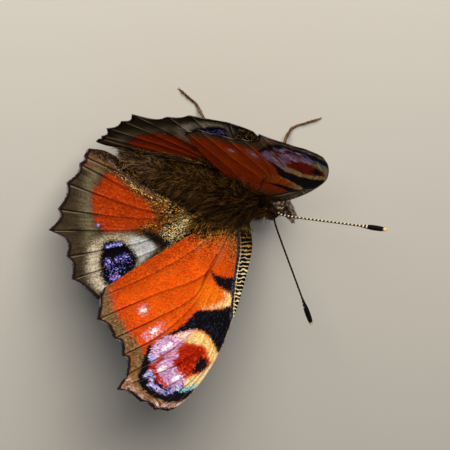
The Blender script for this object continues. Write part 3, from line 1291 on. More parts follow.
@dataclass(frozen=True)
class WingFinish:
    """Overlapping scales on a thin membrane: matt, with each scale its own tint.

    Attributes:
        name: of the material.
        marks: laid in order over the ground.
        ground: hex colours of the ground, in the light and in the deep places.
        vein: hex colour that the veins darken the ground by.
        edge: hex colour of the thin line along the margin.
        scale: a scale's width and length in mm. Real ones are 0.08 by 0.2, and these are wider, so that
            single scales show.
        bars: width in mm of one dark and one pale bar of the costa, or 0 for none.
        streaks: how much lighter and darker the streaks along the veins are.
        crease: how much the pale line beside each vein shows in the border.
        crease_at: how far past a vein that line lies, and its half width, in mm.
        vein_line: half width of the veins' dark lines in mm.
        edge_line: width of the dark line along the margin in mm.
    """

    name: str
    marks: tuple[Mark, ...]
    ground: tuple[str, str]
    vein: str = "#7C4A3C"
    edge: str = "#1A1112"
    scale: Place = (0.12, 0.155)
    bars: float = 0.0
    streaks: float = 0.6
    crease: float = 0.36
    crease_at: Place = (0.27, 0.1)
    vein_line: float = 0.11
    edge_line: float = 0.32

    def edge_of(self, net: Network, depth: Socket, stray: float, soft: float, chance: Socket) -> Socket:
        """The share of a mark from its depth, roughened scale by scale.

        The depth, moved by stray times (2 chance - 1), rises smoothly to a share of 1 from -soft to soft.

        Args:
            net: the wing's nodes.
            depth: how deep a place lies in the mark, in mm.
            stray: how far single scales stray past its edge, in mm.
            soft: half width of its blurred edge, in mm.
            chance: 0 to 1 for each scale.
        Returns:
            The share, 0 to 1.
        """
        strayed = net.add(Kind.SUBTRACT, net.add(Kind.MULTIPLY_ADD, chance, 2 * stray, depth), stray)
        return net.add(Kind.RANGE, strayed, -soft, soft, interpolation_type="SMOOTHSTEP")

    def marked(self, net: Network, colour: Socket, mark: Mark, chance: Sequence[Socket]) -> Socket:
        """One mark over a colour, with its own flecks, each of them a share of its scales.

        Args:
            net: the wing's nodes.
            colour: what is under the mark.
            mark: its colours and edge.
            chance: three numbers from 0 to 1 for each scale.
        Returns:
            The colour with the mark on it.
        """
        depth = net.add(Kind.STORED, attribute_name=mark.name)
        share = self.edge_of(net, depth, mark.stray, mark.soft, chance[0])
        if mark.cover < 1:
            share = net.add(Kind.MULTIPLY, share, net.add(Kind.LESS_THAN, chance[1], mark.cover))
        top: Feed = mark.colour
        reach = 0.0
        for code, part in mark.flecks:
            picked = net.add(Kind.COMPARE, chance[2], reach + part / 2, part / 2)
            top = net.add(Kind.MIX, picked, top, code)
            reach += part
        return net.add(Kind.MIX, share, colour, top)

    def build(self) -> Material:
        """Lays ground, marks, single scales, veins, costal bars and margin in turn."""
        net = Network(self.name)
        fan = net.add(Kind.STORED, attribute_name="fan", out="Vector")
        plane = net.add(Kind.STORED, attribute_name="plane", out="Vector")
        scale = net.pattern(Kind.CELLS, fan, (*self.scale, 1.0))
        chance = net.add(Kind.COLOUR_PARTS, scale.node.outputs["Color"]).node.outputs
        broad = net.pattern(Kind.NOISE, plane, (2.4, 2.4, 1.0), Detail=3.0)
        colour = net.add(Kind.MIX, net.add(Kind.MULTIPLY_ADD, broad, 2.2, -0.6, use_clamp=True), *self.ground)
        for mark in self.marks:
            colour = self.marked(net, colour, mark, chance)
        # Each scale has its own tint, and streaks of lighter and darker scales run along the veins.
        streak = net.pattern(Kind.NOISE, fan, (0.22, 3.0, 1.0))
        streak = net.add(Kind.MULTIPLY_ADD, streak, self.streaks, 1 - self.streaks / 2)
        tint = net.add(Kind.MULTIPLY, net.add(Kind.MULTIPLY_ADD, chance[1], 0.55, 0.7), streak)
        colour = net.add(Kind.TINT, 1.0, colour, net.add(Kind.COLOUR, tint, tint, tint))
        crease = net.add(Kind.COMPARE, net.add(Kind.STORED, attribute_name="past_vein"), *self.crease_at)
        crease = net.add(Kind.MULTIPLY, crease, net.add(Kind.STORED, attribute_name="crease"))
        colour = net.add(Kind.MIX, net.add(Kind.MULTIPLY, crease, self.crease), colour, "#BDB096")
        near = net.add(Kind.SUBTRACT, self.vein_line, net.add(Kind.STORED, attribute_name="vein_gap"))
        near = self.edge_of(net, near, 0.03, 0.06, chance[0])
        near = net.add(Kind.MULTIPLY, near, net.add(Kind.STORED, attribute_name="vein_ink"))
        colour = net.add(Kind.TINT, near, colour, self.vein)
        if self.bars:
            colour = self.barred(net, colour, plane, chance[0])
        rim = net.add(Kind.SUBTRACT, self.edge_line, net.add(Kind.STORED, attribute_name="margin"))
        colour = net.add(Kind.MIX, self.edge_of(net, rim, 0.1, 0.12, chance[0]), colour, self.edge)
        return net.shaded(colour, scale, strength=0.6, Roughness=0.7, Specular_IOR_Level=0.04)

    def barred(self, net: Network, colour: Socket, plane: Socket, chance: Socket) -> Socket:
        """Dark and pale bars slanted across the costa, a dark strip inside them, and a pale edge further out.

        A bar is pale where sin(2 pi (out - a quarter of the distance to the costa + noise) / bars) is over
        a limit, which falls from 1.02 at the hinge by 0.07 for each mm, down to 0.65.

        Args:
            net: the wing's nodes.
            colour: what is under the bars.
            plane: (out, ahead) in mm.
            chance: 0 to 1 for each scale.
        Returns:
            The colour with the bars on it.
        """
        costa = net.add(Kind.STORED, attribute_name="costa")
        inside = net.add(Kind.SUBTRACT, net.add(Kind.STORED, attribute_name="band"), costa)
        share = self.edge_of(net, inside, 0.12, 0.08, chance)
        out = net.add(Kind.PLACE_PARTS, plane)
        wobble = net.pattern(Kind.NOISE, plane, (0.55, 0.55, 1.0))
        phase = net.add(Kind.MULTIPLY_ADD, wobble, 0.75, net.add(Kind.MULTIPLY_ADD, costa, -0.25, out))
        wave = net.add(Kind.SINE, net.add(Kind.MULTIPLY, phase, 2 * math.pi / self.bars))
        limit = net.add(Kind.MAXIMUM, net.add(Kind.MULTIPLY_ADD, out, -0.07, 1.02), 0.65)
        tenth = net.add(Kind.MULTIPLY, out, 0.1)
        light = net.add(Kind.RAMP, tenth, stops=((0.1, "#6A4E1C"), (0.35, "#A8863E"), (0.6, "#E0CFA2")))
        dark = net.add(Kind.RAMP, tenth, stops=((0.1, "#2A1A0C"), (0.25, "#100C0B")))
        bars = net.add(Kind.MIX, net.add(Kind.GREATER_THAN, wave, limit), dark, light)
        strip = net.add(Kind.MIX, net.add(Kind.GREATER_THAN, chance, 0.72), "#1C1922", "#504C58")
        bars = net.add(Kind.MIX, net.add(Kind.LESS_THAN, inside, 0.4), bars, strip)
        line = net.add(Kind.MULTIPLY, net.add(Kind.COMPARE, inside, 0.52, 0.06), 0.5)
        colour = net.add(Kind.MIX, share, colour, net.add(Kind.MIX, line, bars, light))
        # Past the bars, from 13.4 mm out, most scales of the outermost 0.11 mm are pale.
        outermost = net.add(Kind.LESS_THAN, costa, 0.11)
        past = net.add(Kind.MULTIPLY, net.add(Kind.GREATER_THAN, out, 13.4), outermost)
        past = net.add(Kind.MULTIPLY, past, net.add(Kind.GREATER_THAN, chance, 0.3))
        return net.add(Kind.MIX, net.add(Kind.MULTIPLY, past, 0.75), colour, "#A8988A")


@dataclass(frozen=True)
class UndersideFinish:
    """The wing's underside: blackish brown scales with fine wavy dark lines across the veins.

    Attributes:
        name: of the material.
        tones: hex colours from dark to light.
        line_gap: distance between the fine lines in mm.
    """

    name: str
    tones: tuple[str, ...] = ("#120D0B", "#261B15", "#3B2C22", "#54453A")
    line_gap: float = 0.55

    def build(self) -> Material:
        """Waves run across the veins, broken by noise, over a broad mottle."""
        net = Network(self.name)
        fan = net.add(Kind.STORED, attribute_name="fan", out="Vector")
        along = net.add(Kind.PLACE_PARTS, fan).node.outputs[1]
        bend = net.pattern(Kind.NOISE, fan, (1.6, 1.0, 1.0), Detail=3.0)
        phase = net.add(Kind.MULTIPLY_ADD, bend, 2.4, along)
        wave = net.add(Kind.SINE, net.add(Kind.MULTIPLY, phase, 2 * math.pi / self.line_gap))
        broad = net.pattern(Kind.NOISE, fan, (4.0, 5.0, 1.0))
        pick = net.add(Kind.MULTIPLY_ADD, wave, 0.14, broad)
        colour = net.add(Kind.RAMP, pick, stops=spaced(self.tones, 0.25, 0.75))
        scale = net.pattern(Kind.CELLS, fan, (0.16, 0.22, 1.0))
        return net.shaded(colour, scale, strength=0.6, Roughness=0.7, Specular_IOR_Level=0.1)


# Body

@dataclass(frozen=True)
class Egg:
    """An ellipsoid of the trunk: middle (ahead, up) and half length, half width and half height in mm."""

    middle: Place
    half: Triple

    def radii(self, ahead: Array) -> tuple[Array, Array]:
        """Half width and half height at each place ahead, 0 past the ends."""
        girth = np.sqrt(np.clip(1 - ((ahead - self.middle[0]) / self.half[0]) ** 2, 0, None))
        return girth * self.half[1], girth * self.half[2]


@dataclass(frozen=True)
class Eye:
    """One compound eye: a dome on the side of the head.

    Attributes:
        middle: (ahead, up) in mm.
        half: half length and half height in mm.
        inner: how far from the body's middle plane its rim lies, in mm.
        outer: how far its top lies, in mm.
        hairs: how many hairs stand round it.
    """

    middle: Place = (4.4, -0.15)
    half: Place = (1.0, 1.02)
    inner: float = 0.6
    outer: float = 1.98
    hairs: int = 300

    def holds(self, places: Array) -> Array:
        """Whether each place lies in either eye, taken as an ellipsoid about the middle of its rim."""
        left, behind, up = (places - BODY.origin).T
        ahead_share = (-behind - self.middle[0]) / self.half[0]
        up_share = (up - self.middle[1]) / self.half[1]
        out_share = (np.abs(left) - self.inner) / (self.outer - self.inner)
        return ahead_share ** 2 + up_share ** 2 + out_share ** 2 < 1

    def brow(self, side: Side, seed: int) -> Surface:
        """Hair round the eye's rim that lies forward and over its edge."""
        rng = np.random.default_rng(seed)
        turn = rng.uniform(0.3 * np.pi, 1.7 * np.pi, self.hairs)
        place = np.stack([np.cos(turn) * self.half[0], np.sin(turn) * self.half[1]], 1) * 1.02
        left = side.value * rng.uniform(0.75, 1.25, self.hairs)
        roots = BODY.at(self.middle[0] + place[:, 0], left, self.middle[1] + place[:, 1])
        facings = BODY.at(place[:, 0], side.value * self.inner, place[:, 1]) - BODY.origin
        lies = way(0.5, side.value * 0.9, 0.1) - 0.35 * unit(facings)
        coat = Coat(length=(0.25, 0.55), width=0.07, lift=0.1, sink=0.1, scatter=0.35)
        unwrap = np.column_stack([0.02 + 0.96 * turn / (2 * np.pi), rng.uniform(0.02, 0.98, self.hairs)])
        return tufts(roots, facings, lies, unwrap, coat, seed + 1)

    def build(self, side: Side) -> Surface:
        """Half an ellipsoid with its flat side hidden in the head, closed on a point at each end."""
        lean = np.linspace(0, np.pi / 2, 41)[1:]
        turn = np.linspace(0, 2 * np.pi, 64, endpoint=False)
        lean, turn = np.meshgrid(lean, turn, indexing="ij")
        left = side.value * (self.inner + (self.outer - self.inner) * np.cos(lean))
        ahead = self.middle[0] + self.half[0] * np.sin(lean) * np.cos(turn)
        up = self.middle[1] + self.half[1] * np.sin(lean) * np.sin(turn)
        tips = BODY.at(self.middle[0], side.value * np.array([self.outer, self.inner]), self.middle[1])
        return capped(BODY.at(ahead, left, up), tips)


EYE = Eye()


@dataclass(frozen=True)
class EyeFinish:
    """A compound eye's cornea: dark, glossy, with hexagonal facets and pale orange spots from within.

    Attributes:
        name: of the material.
        facet: the facets' width in mm. Real ones are 0.025, and these are coarser so that they show.
        spot: width of the pale spots in mm.
    """

    name: str
    facet: float = 0.06
    spot: float = 0.55

    def build(self) -> Material:
        """Facets are Voronoi cells with little scatter; a coarser layer of cells gives the pale spots."""
        net = Network(self.name)
        place = net.place()
        facets = net.pattern(Kind.CELLS, place, (self.facet,) * 3)
        lit = net.add(Kind.RANGE, net.pattern(Kind.CELLS, place, (self.spot,) * 3), 0.42, 0.2)
        colour = net.add(Kind.MIX, net.add(Kind.MULTIPLY, lit, 0.7), "#20120E", "#D08A50")
        return net.shaded(colour, facets, 0.02, 0.7, Roughness=0.35, Specular_IOR_Level=0.4, Coat_Weight=0.15)


# Each hair is grown chitin, nearly black at the root and gold brown at the tip, so the coat looks deep.
THORAX_HAIR = HairFinish("grown chitin, thorax hair", "#140C07",
                         ("#0E0803", "#180E05", "#241607", "#38230B", "#7E5420"))
ABDOMEN_HAIR = HairFinish("grown chitin, abdomen hair", "#120C08",
                          ("#1A1108", "#2C1D0E", "#4A3318", "#86602F"))
TIP_HAIR = HairFinish("grown chitin, abdomen tip hair", "#1E140C",
                      ("#2C1D12", "#4A3322", "#74563E", "#A08262"))
# Black hair with some gold tips looks dusted, as it does where the wings begin.
SPECKLED = ("#0C0805", "#100A05", "#1C1107", "#34210C", "#B8862C")
ROOT_HAIR = HairFinish("grown chitin, wing root hair", "#0C0805", SPECKLED)


@dataclass(frozen=True)
class Pelt:
    """One coat of hair on the trunk.

    Attributes:
        name: of the piece.
        finish: of its hair.
        span: the places ahead between which it grows, in mm.
        count: how many tufts are tried.
        coat: sizes.
        shift: added to the body's seed.
        sideways: how far the tufts lie outwards from the middle, as a share of rearwards.
        angles: degrees from the back's middle between which it grows on each side, or None for all round.
        forward: 1 where the tufts lie forward, -1 where they lie to the rear.
    """

    name: str
    finish: HairFinish
    span: Place
    count: int
    coat: Coat
    shift: int
    sideways: float
    angles: Place | None = None
    forward: float = -1.0


PELTS = (
    Pelt("thorax_fur", THORAX_HAIR, (-5.6, 3.3), 12000, Coat((1.1, 2.1), 0.13, 0.3, 0.15, 0.35), 0, 0.5),
    Pelt("shoulder_fur", THORAX_HAIR, (-5.2, 1.6), 2600, Coat((1.6, 3.0), 0.12, 0.85, 0.15, 0.4), 40, 0.8,
         (75.0, 22.0)),
    Pelt("waist_fur", ABDOMEN_HAIR, (-8.4, -2.6), 3000, Coat((1.4, 2.7), 0.11, 0.7, 0.15, 0.4), 44, 1.3,
         (112.0, 48.0)),
    Pelt("hinge_fur", ROOT_HAIR, (-4.8, -1.0), 2600, Coat((0.9, 1.7), 0.09, 0.7, 0.15, 0.5), 52, 2.6,
         (108.0, 62.0)),
    Pelt("wing_root_fur", ROOT_HAIR, (0.4, 3.3), 2600, Coat((0.8, 1.5), 0.09, 0.7, 0.15, 0.5), 48, 2.2,
         (95.0, 35.0)),
    Pelt("abdomen_fur", ABDOMEN_HAIR, (-17.4, -5.2), 15000, Coat((0.8, 1.6), 0.1, 0.4, 0.1, 0.35), 3, 0.9),
    Pelt("head_fur", THORAX_HAIR, (2.4, 4.7), 6400, Coat((0.9, 1.9), 0.09, 0.45, 0.06, 0.45), 5, 0.5),
    Pelt("abdomen_tip_fur", TIP_HAIR, (-17.6, -12.2), 3600, Coat((1.2, 2.4), 0.1, 0.45, 0.1, 0.5), 80, 1.1),
    Pelt("face_fur", THORAX_HAIR, (4.6, 5.42), 5200, Coat((0.4, 0.9), 0.07, 0.5, 0.06, 0.4), 60, 0.0,
         forward=1.0),
    Pelt("collar_fur", THORAX_HAIR, (1.4, 4.2), 5200, Coat((1.0, 2.0), 0.1, 0.6, 0.1, 0.5), 50, 1.2),
    Pelt("flank_fur", ABDOMEN_HAIR, (-14.0, -4.0), 4600, Coat((1.2, 2.2), 0.11, 0.8, 0.1, 0.5), 70, 0.8),
)


@dataclass(frozen=True)
class Trunk:
    """Head, thorax and abdomen under one skin, as deep under the frame's solids as the coat is thick.

    Attributes:
        thorax: the skin's thorax.
        head: the skin's head.
        abdomen_front: how far behind the back's middle the abdomen starts, in mm.
        abdomen_length: in mm.
        abdomen_drop: how far its tip lies under its front, in mm.
        abdomen_radii: at its front, and how much it swells, in mm.
        segments: the abdomen's rings.
        full_girth: half width and half height together, in mm, from which every tuft grows.
    """

    thorax: Egg = Egg((-0.9, -1.2), (4.8, 2.15, 2.2))
    head: Egg = Egg((4.3, -0.35), (1.15, 1.05, 1.15))
    abdomen_front: float = 4.6
    abdomen_length: float = 13.1
    abdomen_drop: float = 1.75
    abdomen_radii: Place = (1.25, 0.45)
    segments: int = 8
    full_girth: float = 4.6

    def sections(self, ahead: Array) -> tuple[Array, Array, Array]:
        """Half width, half height and height of the middle at each place ahead.

        The three parts' radii are joined by the sixth root of the sum of their sixth powers, which rounds
        the neck and the waist. The abdomen swells along a sine, closes over its rear half by
        sqrt(1 - x to the power 2.4), and has a groove of 0.035 of its radius after each segment.

        Args:
            ahead: places ahead in mm.
        Returns:
            The three measures in mm, one of each for each place.
        """
        share = np.clip((-self.abdomen_front - ahead) / self.abdomen_length, 0, 1)
        front, swell = self.abdomen_radii
        body = front + swell * np.sin(np.pi * np.minimum(1, 1.25 * share))
        close = np.sqrt(np.clip(1 - np.clip((share - 0.5) / 0.5, 0, 1) ** 2.4, 0, None))
        start = smoothstep(-ahead, self.abdomen_front - 1.0, self.abdomen_front + 0.6)
        rings = 1 - 0.035 * np.cos(2 * np.pi * share * self.segments) ** 8
        abdomen = body * close * start * rings
        wide_a, high_a = self.thorax.radii(ahead)
        wide_b, high_b = self.head.radii(ahead)
        wide = (wide_a ** 6 + wide_b ** 6 + abdomen ** 6) ** (1 / 6)
        high = (high_a ** 6 + high_b ** 6 + abdomen ** 6) ** (1 / 6)
        rise = (self.head.middle[1] - self.thorax.middle[1]) * smoothstep(ahead, 1.8, 3.9)
        return wide, high, self.thorax.middle[1] + rise - self.abdomen_drop * share

    def half_width(self, ahead: Array, up: Array) -> Array:
        """The thorax skin's half width at heights and lengths on the body, never under 1.2 mm."""
        along = (ahead - self.thorax.middle[0]) / self.thorax.half[0]
        height = (up - self.thorax.middle[1]) / self.thorax.half[2]
        girth = np.sqrt(np.clip(1 - along ** 2 - height ** 2, 0, None))
        return np.maximum(self.thorax.half[1] * girth - 0.15, 1.2)

    def at(self, ahead: Array, turn: Array) -> Array:
        """Places on the skin: turn 0 is the belly's middle, a quarter turn the left side."""
        wide, high, middle = self.sections(ahead)
        return BODY.at(ahead, wide * np.sin(turn), middle - high * np.cos(turn))

    @property
    def ends(self) -> Place:
        """How far ahead the abdomen's tip and the face lie."""
        return -self.abdomen_front - self.abdomen_length, self.head.middle[0] + self.head.half[0]

    def facing(self, ahead: Array, turn: Array) -> Array:
        """The outward direction, from the slopes along and round the skin."""
        step = 0.02
        along = self.at(ahead + step, turn) - self.at(ahead - step, turn)
        round_it = self.at(ahead, turn + step) - self.at(ahead, turn - step)
        return unit(np.cross(round_it, along))

    def build(self) -> Surface:
        """The closed skin: rings closer together at both ends, each end closed on a point."""
        low, high = self.ends
        share = (1 - np.cos(np.pi * np.linspace(0, 1, 202)[1:-1])) / 2
        turn = np.linspace(0, 2 * np.pi, 80, endpoint=False)
        rings = self.at(*np.meshgrid(low + (high - low) * share, turn, indexing="ij"))
        return capped(rings, self.at(np.array(self.ends), np.zeros(2)))

    def fur(self, pelt: Pelt, side: Side | None, seed: int) -> Surface:
        """Tufts on part of the skin, with none rooted in an eye and fewer where the body is thin.

        Args:
            pelt: where they grow and how they lie.
            side: of the body, or None for hair all round it.
            seed: of the body's random draws.
        Returns:
            The tufts.
        """
        seed += pelt.shift
        turns = [0.0, 2 * np.pi]
        if side:
            seed += side.value
            turns = sorted(math.pi - side.value * math.radians(angle) for angle in pelt.angles)
        rng = np.random.default_rng(seed)
        ahead = rng.uniform(*pelt.span, pelt.count)
        turn = rng.uniform(*turns, pelt.count)
        wide, tall, _ = self.sections(ahead)
        kept = rng.random(pelt.count) < (wide + tall) / self.full_girth
        kept &= ~EYE.holds(self.at(ahead, turn))
        ahead, turn = ahead[kept], turn[kept]
        facings = self.facing(ahead, turn)
        lies = way(pelt.forward, 0, 0) + facings * np.array([1.0, 0, 0]) * pelt.sideways
        shares = (ahead - self.ends[0]) / (self.ends[1] - self.ends[0])
        unwrap = 0.01 + 0.98 * np.column_stack([shares, np.mod(turn / (2 * np.pi), 1)])
        return tufts(self.at(ahead, turn), facings, lies, unwrap, pelt.coat, seed + 1)


TRUNK = Trunk()


def limb_line(root: Place, ends: Place, path: Sequence[Triple], side: Side, count: int) -> Array:
    """A limb's middle line, from inside the thorax to its tip.

    Args:
        root: (ahead, turn in degrees) of its root on the trunk's skin.
        ends: how far inside the skin it starts and how far it goes straight out, in mm.
        path: (ahead, out, height over the floor) in mm.
        side: of the body.
        count: how many places to return.
    Returns:
        Places along the line.
    """
    ahead, turn = np.array([root[0]]), np.array([math.radians(root[1]) * side.value])
    place, facing = TRUNK.at(ahead, turn)[0], TRUNK.facing(ahead, turn)[0]
    points = [place - facing * ends[0], place + facing * ends[1]]
    points += [BODY.at(a, side.value * out, height + FLOOR_UP) for a, out, height in path]
    return smooth_path(points, count)


def tube_hair(line: Array, girths: Sequence[Place], span: Place, count: int, coat: Coat, seed: int,
              crowd: float = 1.0) -> Surface:
    """Hair all round a line, lying to its end and clear of the floor.

    Args:
        line: places along the middle.
        girths: (share of the length, how far the roots lie from the line in mm).
        span: the shares of the length between which it grows.
        count: how many tufts.
        coat: sizes.
        seed: of the random draw.
        crowd: the power of each share, over 1 for more tufts near the root.
    Returns:
        The tufts.
    """
    root_clearance, tip_clearance = 0.12, 0.02
    rng = np.random.default_rng(seed)
    tangents = unit(np.gradient(line, axis=0))
    share = rng.uniform(*span, count) ** crowd
    index = (share * (len(line) - 1)).astype(int)
    spokes = unit(np.cross(tangents[index], rng.normal(0, 1, (count, 3))))
    roots = line[index] + spokes * np.interp(share, *np.transpose(girths))[:, None]
    roots[:, 2] = np.maximum(roots[:, 2], root_clearance)
    unwrap = np.column_stack([0.02 + 0.96 * share, rng.uniform(0.02, 0.98, count)])
    fur = tufts(roots, spokes, tangents[index], unwrap, coat, seed + 1)
    fur.points[:, 2] = np.maximum(fur.points[:, 2], tip_clearance)
    return fur


@dataclass(frozen=True)
class Leg:
    """A walking leg on one side, and its twin on the other.

    Attributes:
        name: of the leg.
        root: (ahead, turn in degrees) of its root under the thorax.
        path: (ahead, out, height over the floor) in mm.
        knee: share of the length where the thigh ends.
        ankle: share where the foot starts.
        girths: half widths in mm of the thigh at its root and end, of the shin and of the foot.
        fur_girths: how far the hair's roots lie from the line at the root, knee, ankle and tip, in mm.
    """

    name: str
    root: Place
    path: tuple[Triple, ...]
    knee: float = 0.35
    ankle: float = 0.66
    girths: tuple[float, float, float, float] = (0.34, 0.22, 0.19, 0.13)
    fur_girths: tuple[float, float, float, float] = (0.33, 0.22, 0.16, 0.1)

    def line(self, side: Side, count: int) -> Array:
        """The leg's middle line, from inside the thorax to the claws."""
        return limb_line(self.root, (0.5, 0.9), self.path, side, count)

    def build(self, side: Side) -> Surface:
        """Thigh, shin with a knee, and a foot of five joints, as one tube.

        The thigh swells by 0.07 mm in its middle, each joint of the foot narrows by 0.15 of its half
        width, and the knee narrows by a quarter.
        """
        line = self.line(side, 160)
        share = np.linspace(0, 1, len(line))
        thigh_in, thigh_out, shin, foot = self.girths
        in_thigh = np.clip(share / self.knee, 0, 1)
        in_foot = np.clip((share - self.ankle) / (1 - self.ankle), 0, 1)
        radius = thigh_in + (thigh_out - thigh_in) * in_thigh + 0.07 * np.sin(np.pi * in_thigh)
        radius = radius + (shin - thigh_out) * smoothstep(share, self.knee, self.knee + 0.05)
        joints = 0.85 + 0.15 * np.abs(np.sin(5 * np.pi * in_foot))
        radius = radius + (foot * joints - shin) * smoothstep(share, self.ankle, self.ankle + 0.03)
        radius = radius * (1 - 0.25 * np.exp(-((share - self.knee) / 0.012) ** 2))
        line[:, 2] += np.maximum(0, 0.02 + radius - line[:, 2])
        radius[-3:] *= np.array([0.9, 0.75, 0.5])
        return swept(line, radius, 14, (0.3, 1.0, 0.2))

    def hair(self, side: Side, seed: int) -> Surface:
        """Short scales and hair along the thigh and the shin, lying to the foot."""
        girths = tuple(zip((0.0, self.knee, self.ankle, 1.0), self.fur_girths))
        coat = Coat(length=(0.25, 0.5), width=0.07, lift=0.25, sink=0.05)
        return tube_hair(self.line(side, 200), girths, (0.04, 0.97), 900, coat, seed, 1.25)

    def claws(self, side: Side) -> Surface:
        """Two small hooked claws at the foot's end, resting on the floor."""
        half_width = 0.045
        line = self.line(side, 60)
        ahead = unit(line[-1] - line[-4])
        across = unit(np.cross(ahead, np.array([0.0, 0.0, 1.0])))
        reach = np.linspace(0, 1, 9)[:, None]
        height = 0.13 + 0.03 * np.sin(np.pi * reach[:, 0]) - 0.09 * reach[:, 0] ** 2
        parts = []
        for sign in (-1, 1):
            path = line[-1] + ahead * (reach * 0.32 - 0.05) + across * sign * (0.05 + 0.1 * reach)
            path[:, 2] = np.maximum(half_width, height)
            parts.append(swept(path, half_width * (1 - 0.7 * reach[:, 0]), 8, (0.0, 0.0, 1.0)))
        return joined(parts)


MIDLEG = Leg("midleg", (0.3, 32), ((0.9, 2.6, 4.1), (1.9, 4.5, 5.0), (2.6, 6.0, 3.6), (3.2, 7.4, 1.1),
                                   (3.8, 8.2, 0.16), (5.0, 9.6, 0.16), (6.3, 11.0, 0.16)), 0.36, 0.67)
HINDLEG = Leg("hindleg", (-2.6, 30), ((-3.6, 2.6, 4.1), (-5.3, 4.2, 5.0), (-7.2, 5.4, 3.6), (-9.4, 6.6, 1.1),
                                      (-10.3, 7.1, 0.16), (-12.0, 8.0, 0.16), (-13.8, 8.9, 0.16)), 0.33, 0.66)


@dataclass(frozen=True)
class Foreleg:
    """A brush-like foreleg, folded under the head.

    Attributes:
        root: (ahead, turn in degrees) under the thorax.
        path: (ahead, out, height over the floor) in mm.
        girths: half widths in mm at the root and the tip.
    """

    root: Place = (2.3, 24)
    path: tuple[Triple, ...] = ((3.6, 1.1, 3.3), (4.6, 1.1, 3.4))
    girths: Place = (0.26, 0.13)

    def line(self, side: Side, count: int) -> Array:
        """Its middle line, from inside the thorax."""
        return limb_line(self.root, (0.3, 0.8), self.path, side, count)

    def build(self, side: Side) -> Surface:
        """A short tapered tube."""
        line = self.line(side, 50)
        return swept(line, np.linspace(*self.girths, len(line)), 12, (1.0, 0.0, 0.0))

    def hair(self, side: Side, seed: int) -> Surface:
        """The brush: hair lying to the tip, rooted a tenth of the half width under the surface."""
        girths = tuple((share, 0.9 * girth) for share, girth in zip((0.0, 1.0), self.girths))
        coat = Coat(length=(0.3, 0.6), width=0.07, lift=0.25, sink=0.04)
        return tube_hair(self.line(side, 100), girths, (0.1, 0.95), 500, coat, seed)


@dataclass(frozen=True)
class Skull:
    """The head's solid in the frame, an ellipsoid that antennae, palps and tongue leave.

    Attributes:
        middle: (ahead, up) in mm.
        half: half width, half length and half height in mm.
        gap: how far outside its surface a part's line starts, in mm.
        depth: how far inside that start the part is rooted, in mm.
    """

    middle: Place = (4.35, -0.35)
    half: Triple = (1.35, 1.3, 1.35)
    gap: float = 0.3
    depth: float = 0.7

    @property
    def centre(self) -> Array:
        """Its middle in the row's frame, in mm."""
        return BODY.at(self.middle[0], 0.0, self.middle[1])

    def start(self, ahead: float, left: float, up: float) -> Array:
        """The place a gap outside its surface, on the line from its middle to a place on the body."""
        direction = BODY.at(ahead, left, up) - self.centre
        length = np.linalg.norm(direction)
        surface = length / np.linalg.norm(direction / np.array(self.half))
        return self.centre + direction / length * (surface + self.gap)

    def sprouting(self, start: Array, rise: float, pull: Array, end: Array, count: int) -> Array:
        """A line that leaves the head straight out.

        It is a cubic Bezier curve from start to end, drawn towards the place a rise straight out from the
        start and towards pull, and one place inside the head comes before it.

        Args:
            start: near the head's surface.
            rise: how far straight out it is drawn, in mm.
            pull: the place that it is drawn towards near its end.
            end: its tip.
            count: how many places of the curve to return.
        Returns:
            Places along the line.
        """
        facing = unit((start - self.centre) / np.array(self.half) ** 2)
        t = np.linspace(0, 1, count)[:, None]
        u = 1 - t
        curve = u ** 3 * start + 3 * u * u * t * (start + rise * facing) + 3 * u * t * t * pull + t ** 3 * end
        return np.concatenate([(start - self.depth * facing)[None], curve])


SKULL = Skull()


@dataclass(frozen=True)
class Antenna:
    """A clubbed antenna.

    Attributes:
        root: (ahead, out, up) in mm.
        reach: how far its tip lies from the root, (ahead, out, up) in mm.
        rise: how far it leaves the head straight, in mm.
        shaft: the shaft's half width in mm.
        club: the club's half width in mm, and the share of the length that it takes.
    """

    root: Triple = (4.6, 0.6, 1.0)
    reach: Triple = (10.1, 9.7, 7.5)
    rise: float = 1.0
    shaft: float = 0.13
    club: Place = (0.36, 0.16)

    def build(self, side: Side) -> Surface:
        """A thin shaft that thickens into a club with a blunt tip.

        The club swells over the first 0.6 of its length and closes over its last 0.35 as a circle does.
        The tube also stores outer: how far a corner lies out from the line, as a share of the shaft.
        """
        sides = 16
        start = SKULL.start(self.root[0], side.value * self.root[1], self.root[2])
        end = start + np.array([side.value * self.reach[1], -self.reach[0], self.reach[2]])
        line = SKULL.sprouting(start, self.rise, start * 0.6 + end * 0.4, end, 220)
        share = np.linspace(0, 1, len(line))
        wide, part = self.club
        tip = np.clip((share - (1 - part * 0.35)) / (part * 0.36), 0, 1)
        swell = smoothstep(share, 1 - part, 1 - part * 0.4) * np.sqrt(np.clip(1 - tip ** 2, 0.08, 1))
        radius = self.shaft + (wide - self.shaft) * swell
        radius[share > 1 - part * 0.1] *= 0.97
        shaft = swept(line, radius, sides, (0.0, 0.0, 1.0))
        middles = np.concatenate([np.repeat(line, sides, 0), shaft.points[-2:]])
        shaft.values["outer"] = (shaft.points - middles)[:, 0] * side.value / self.shaft
        return shaft


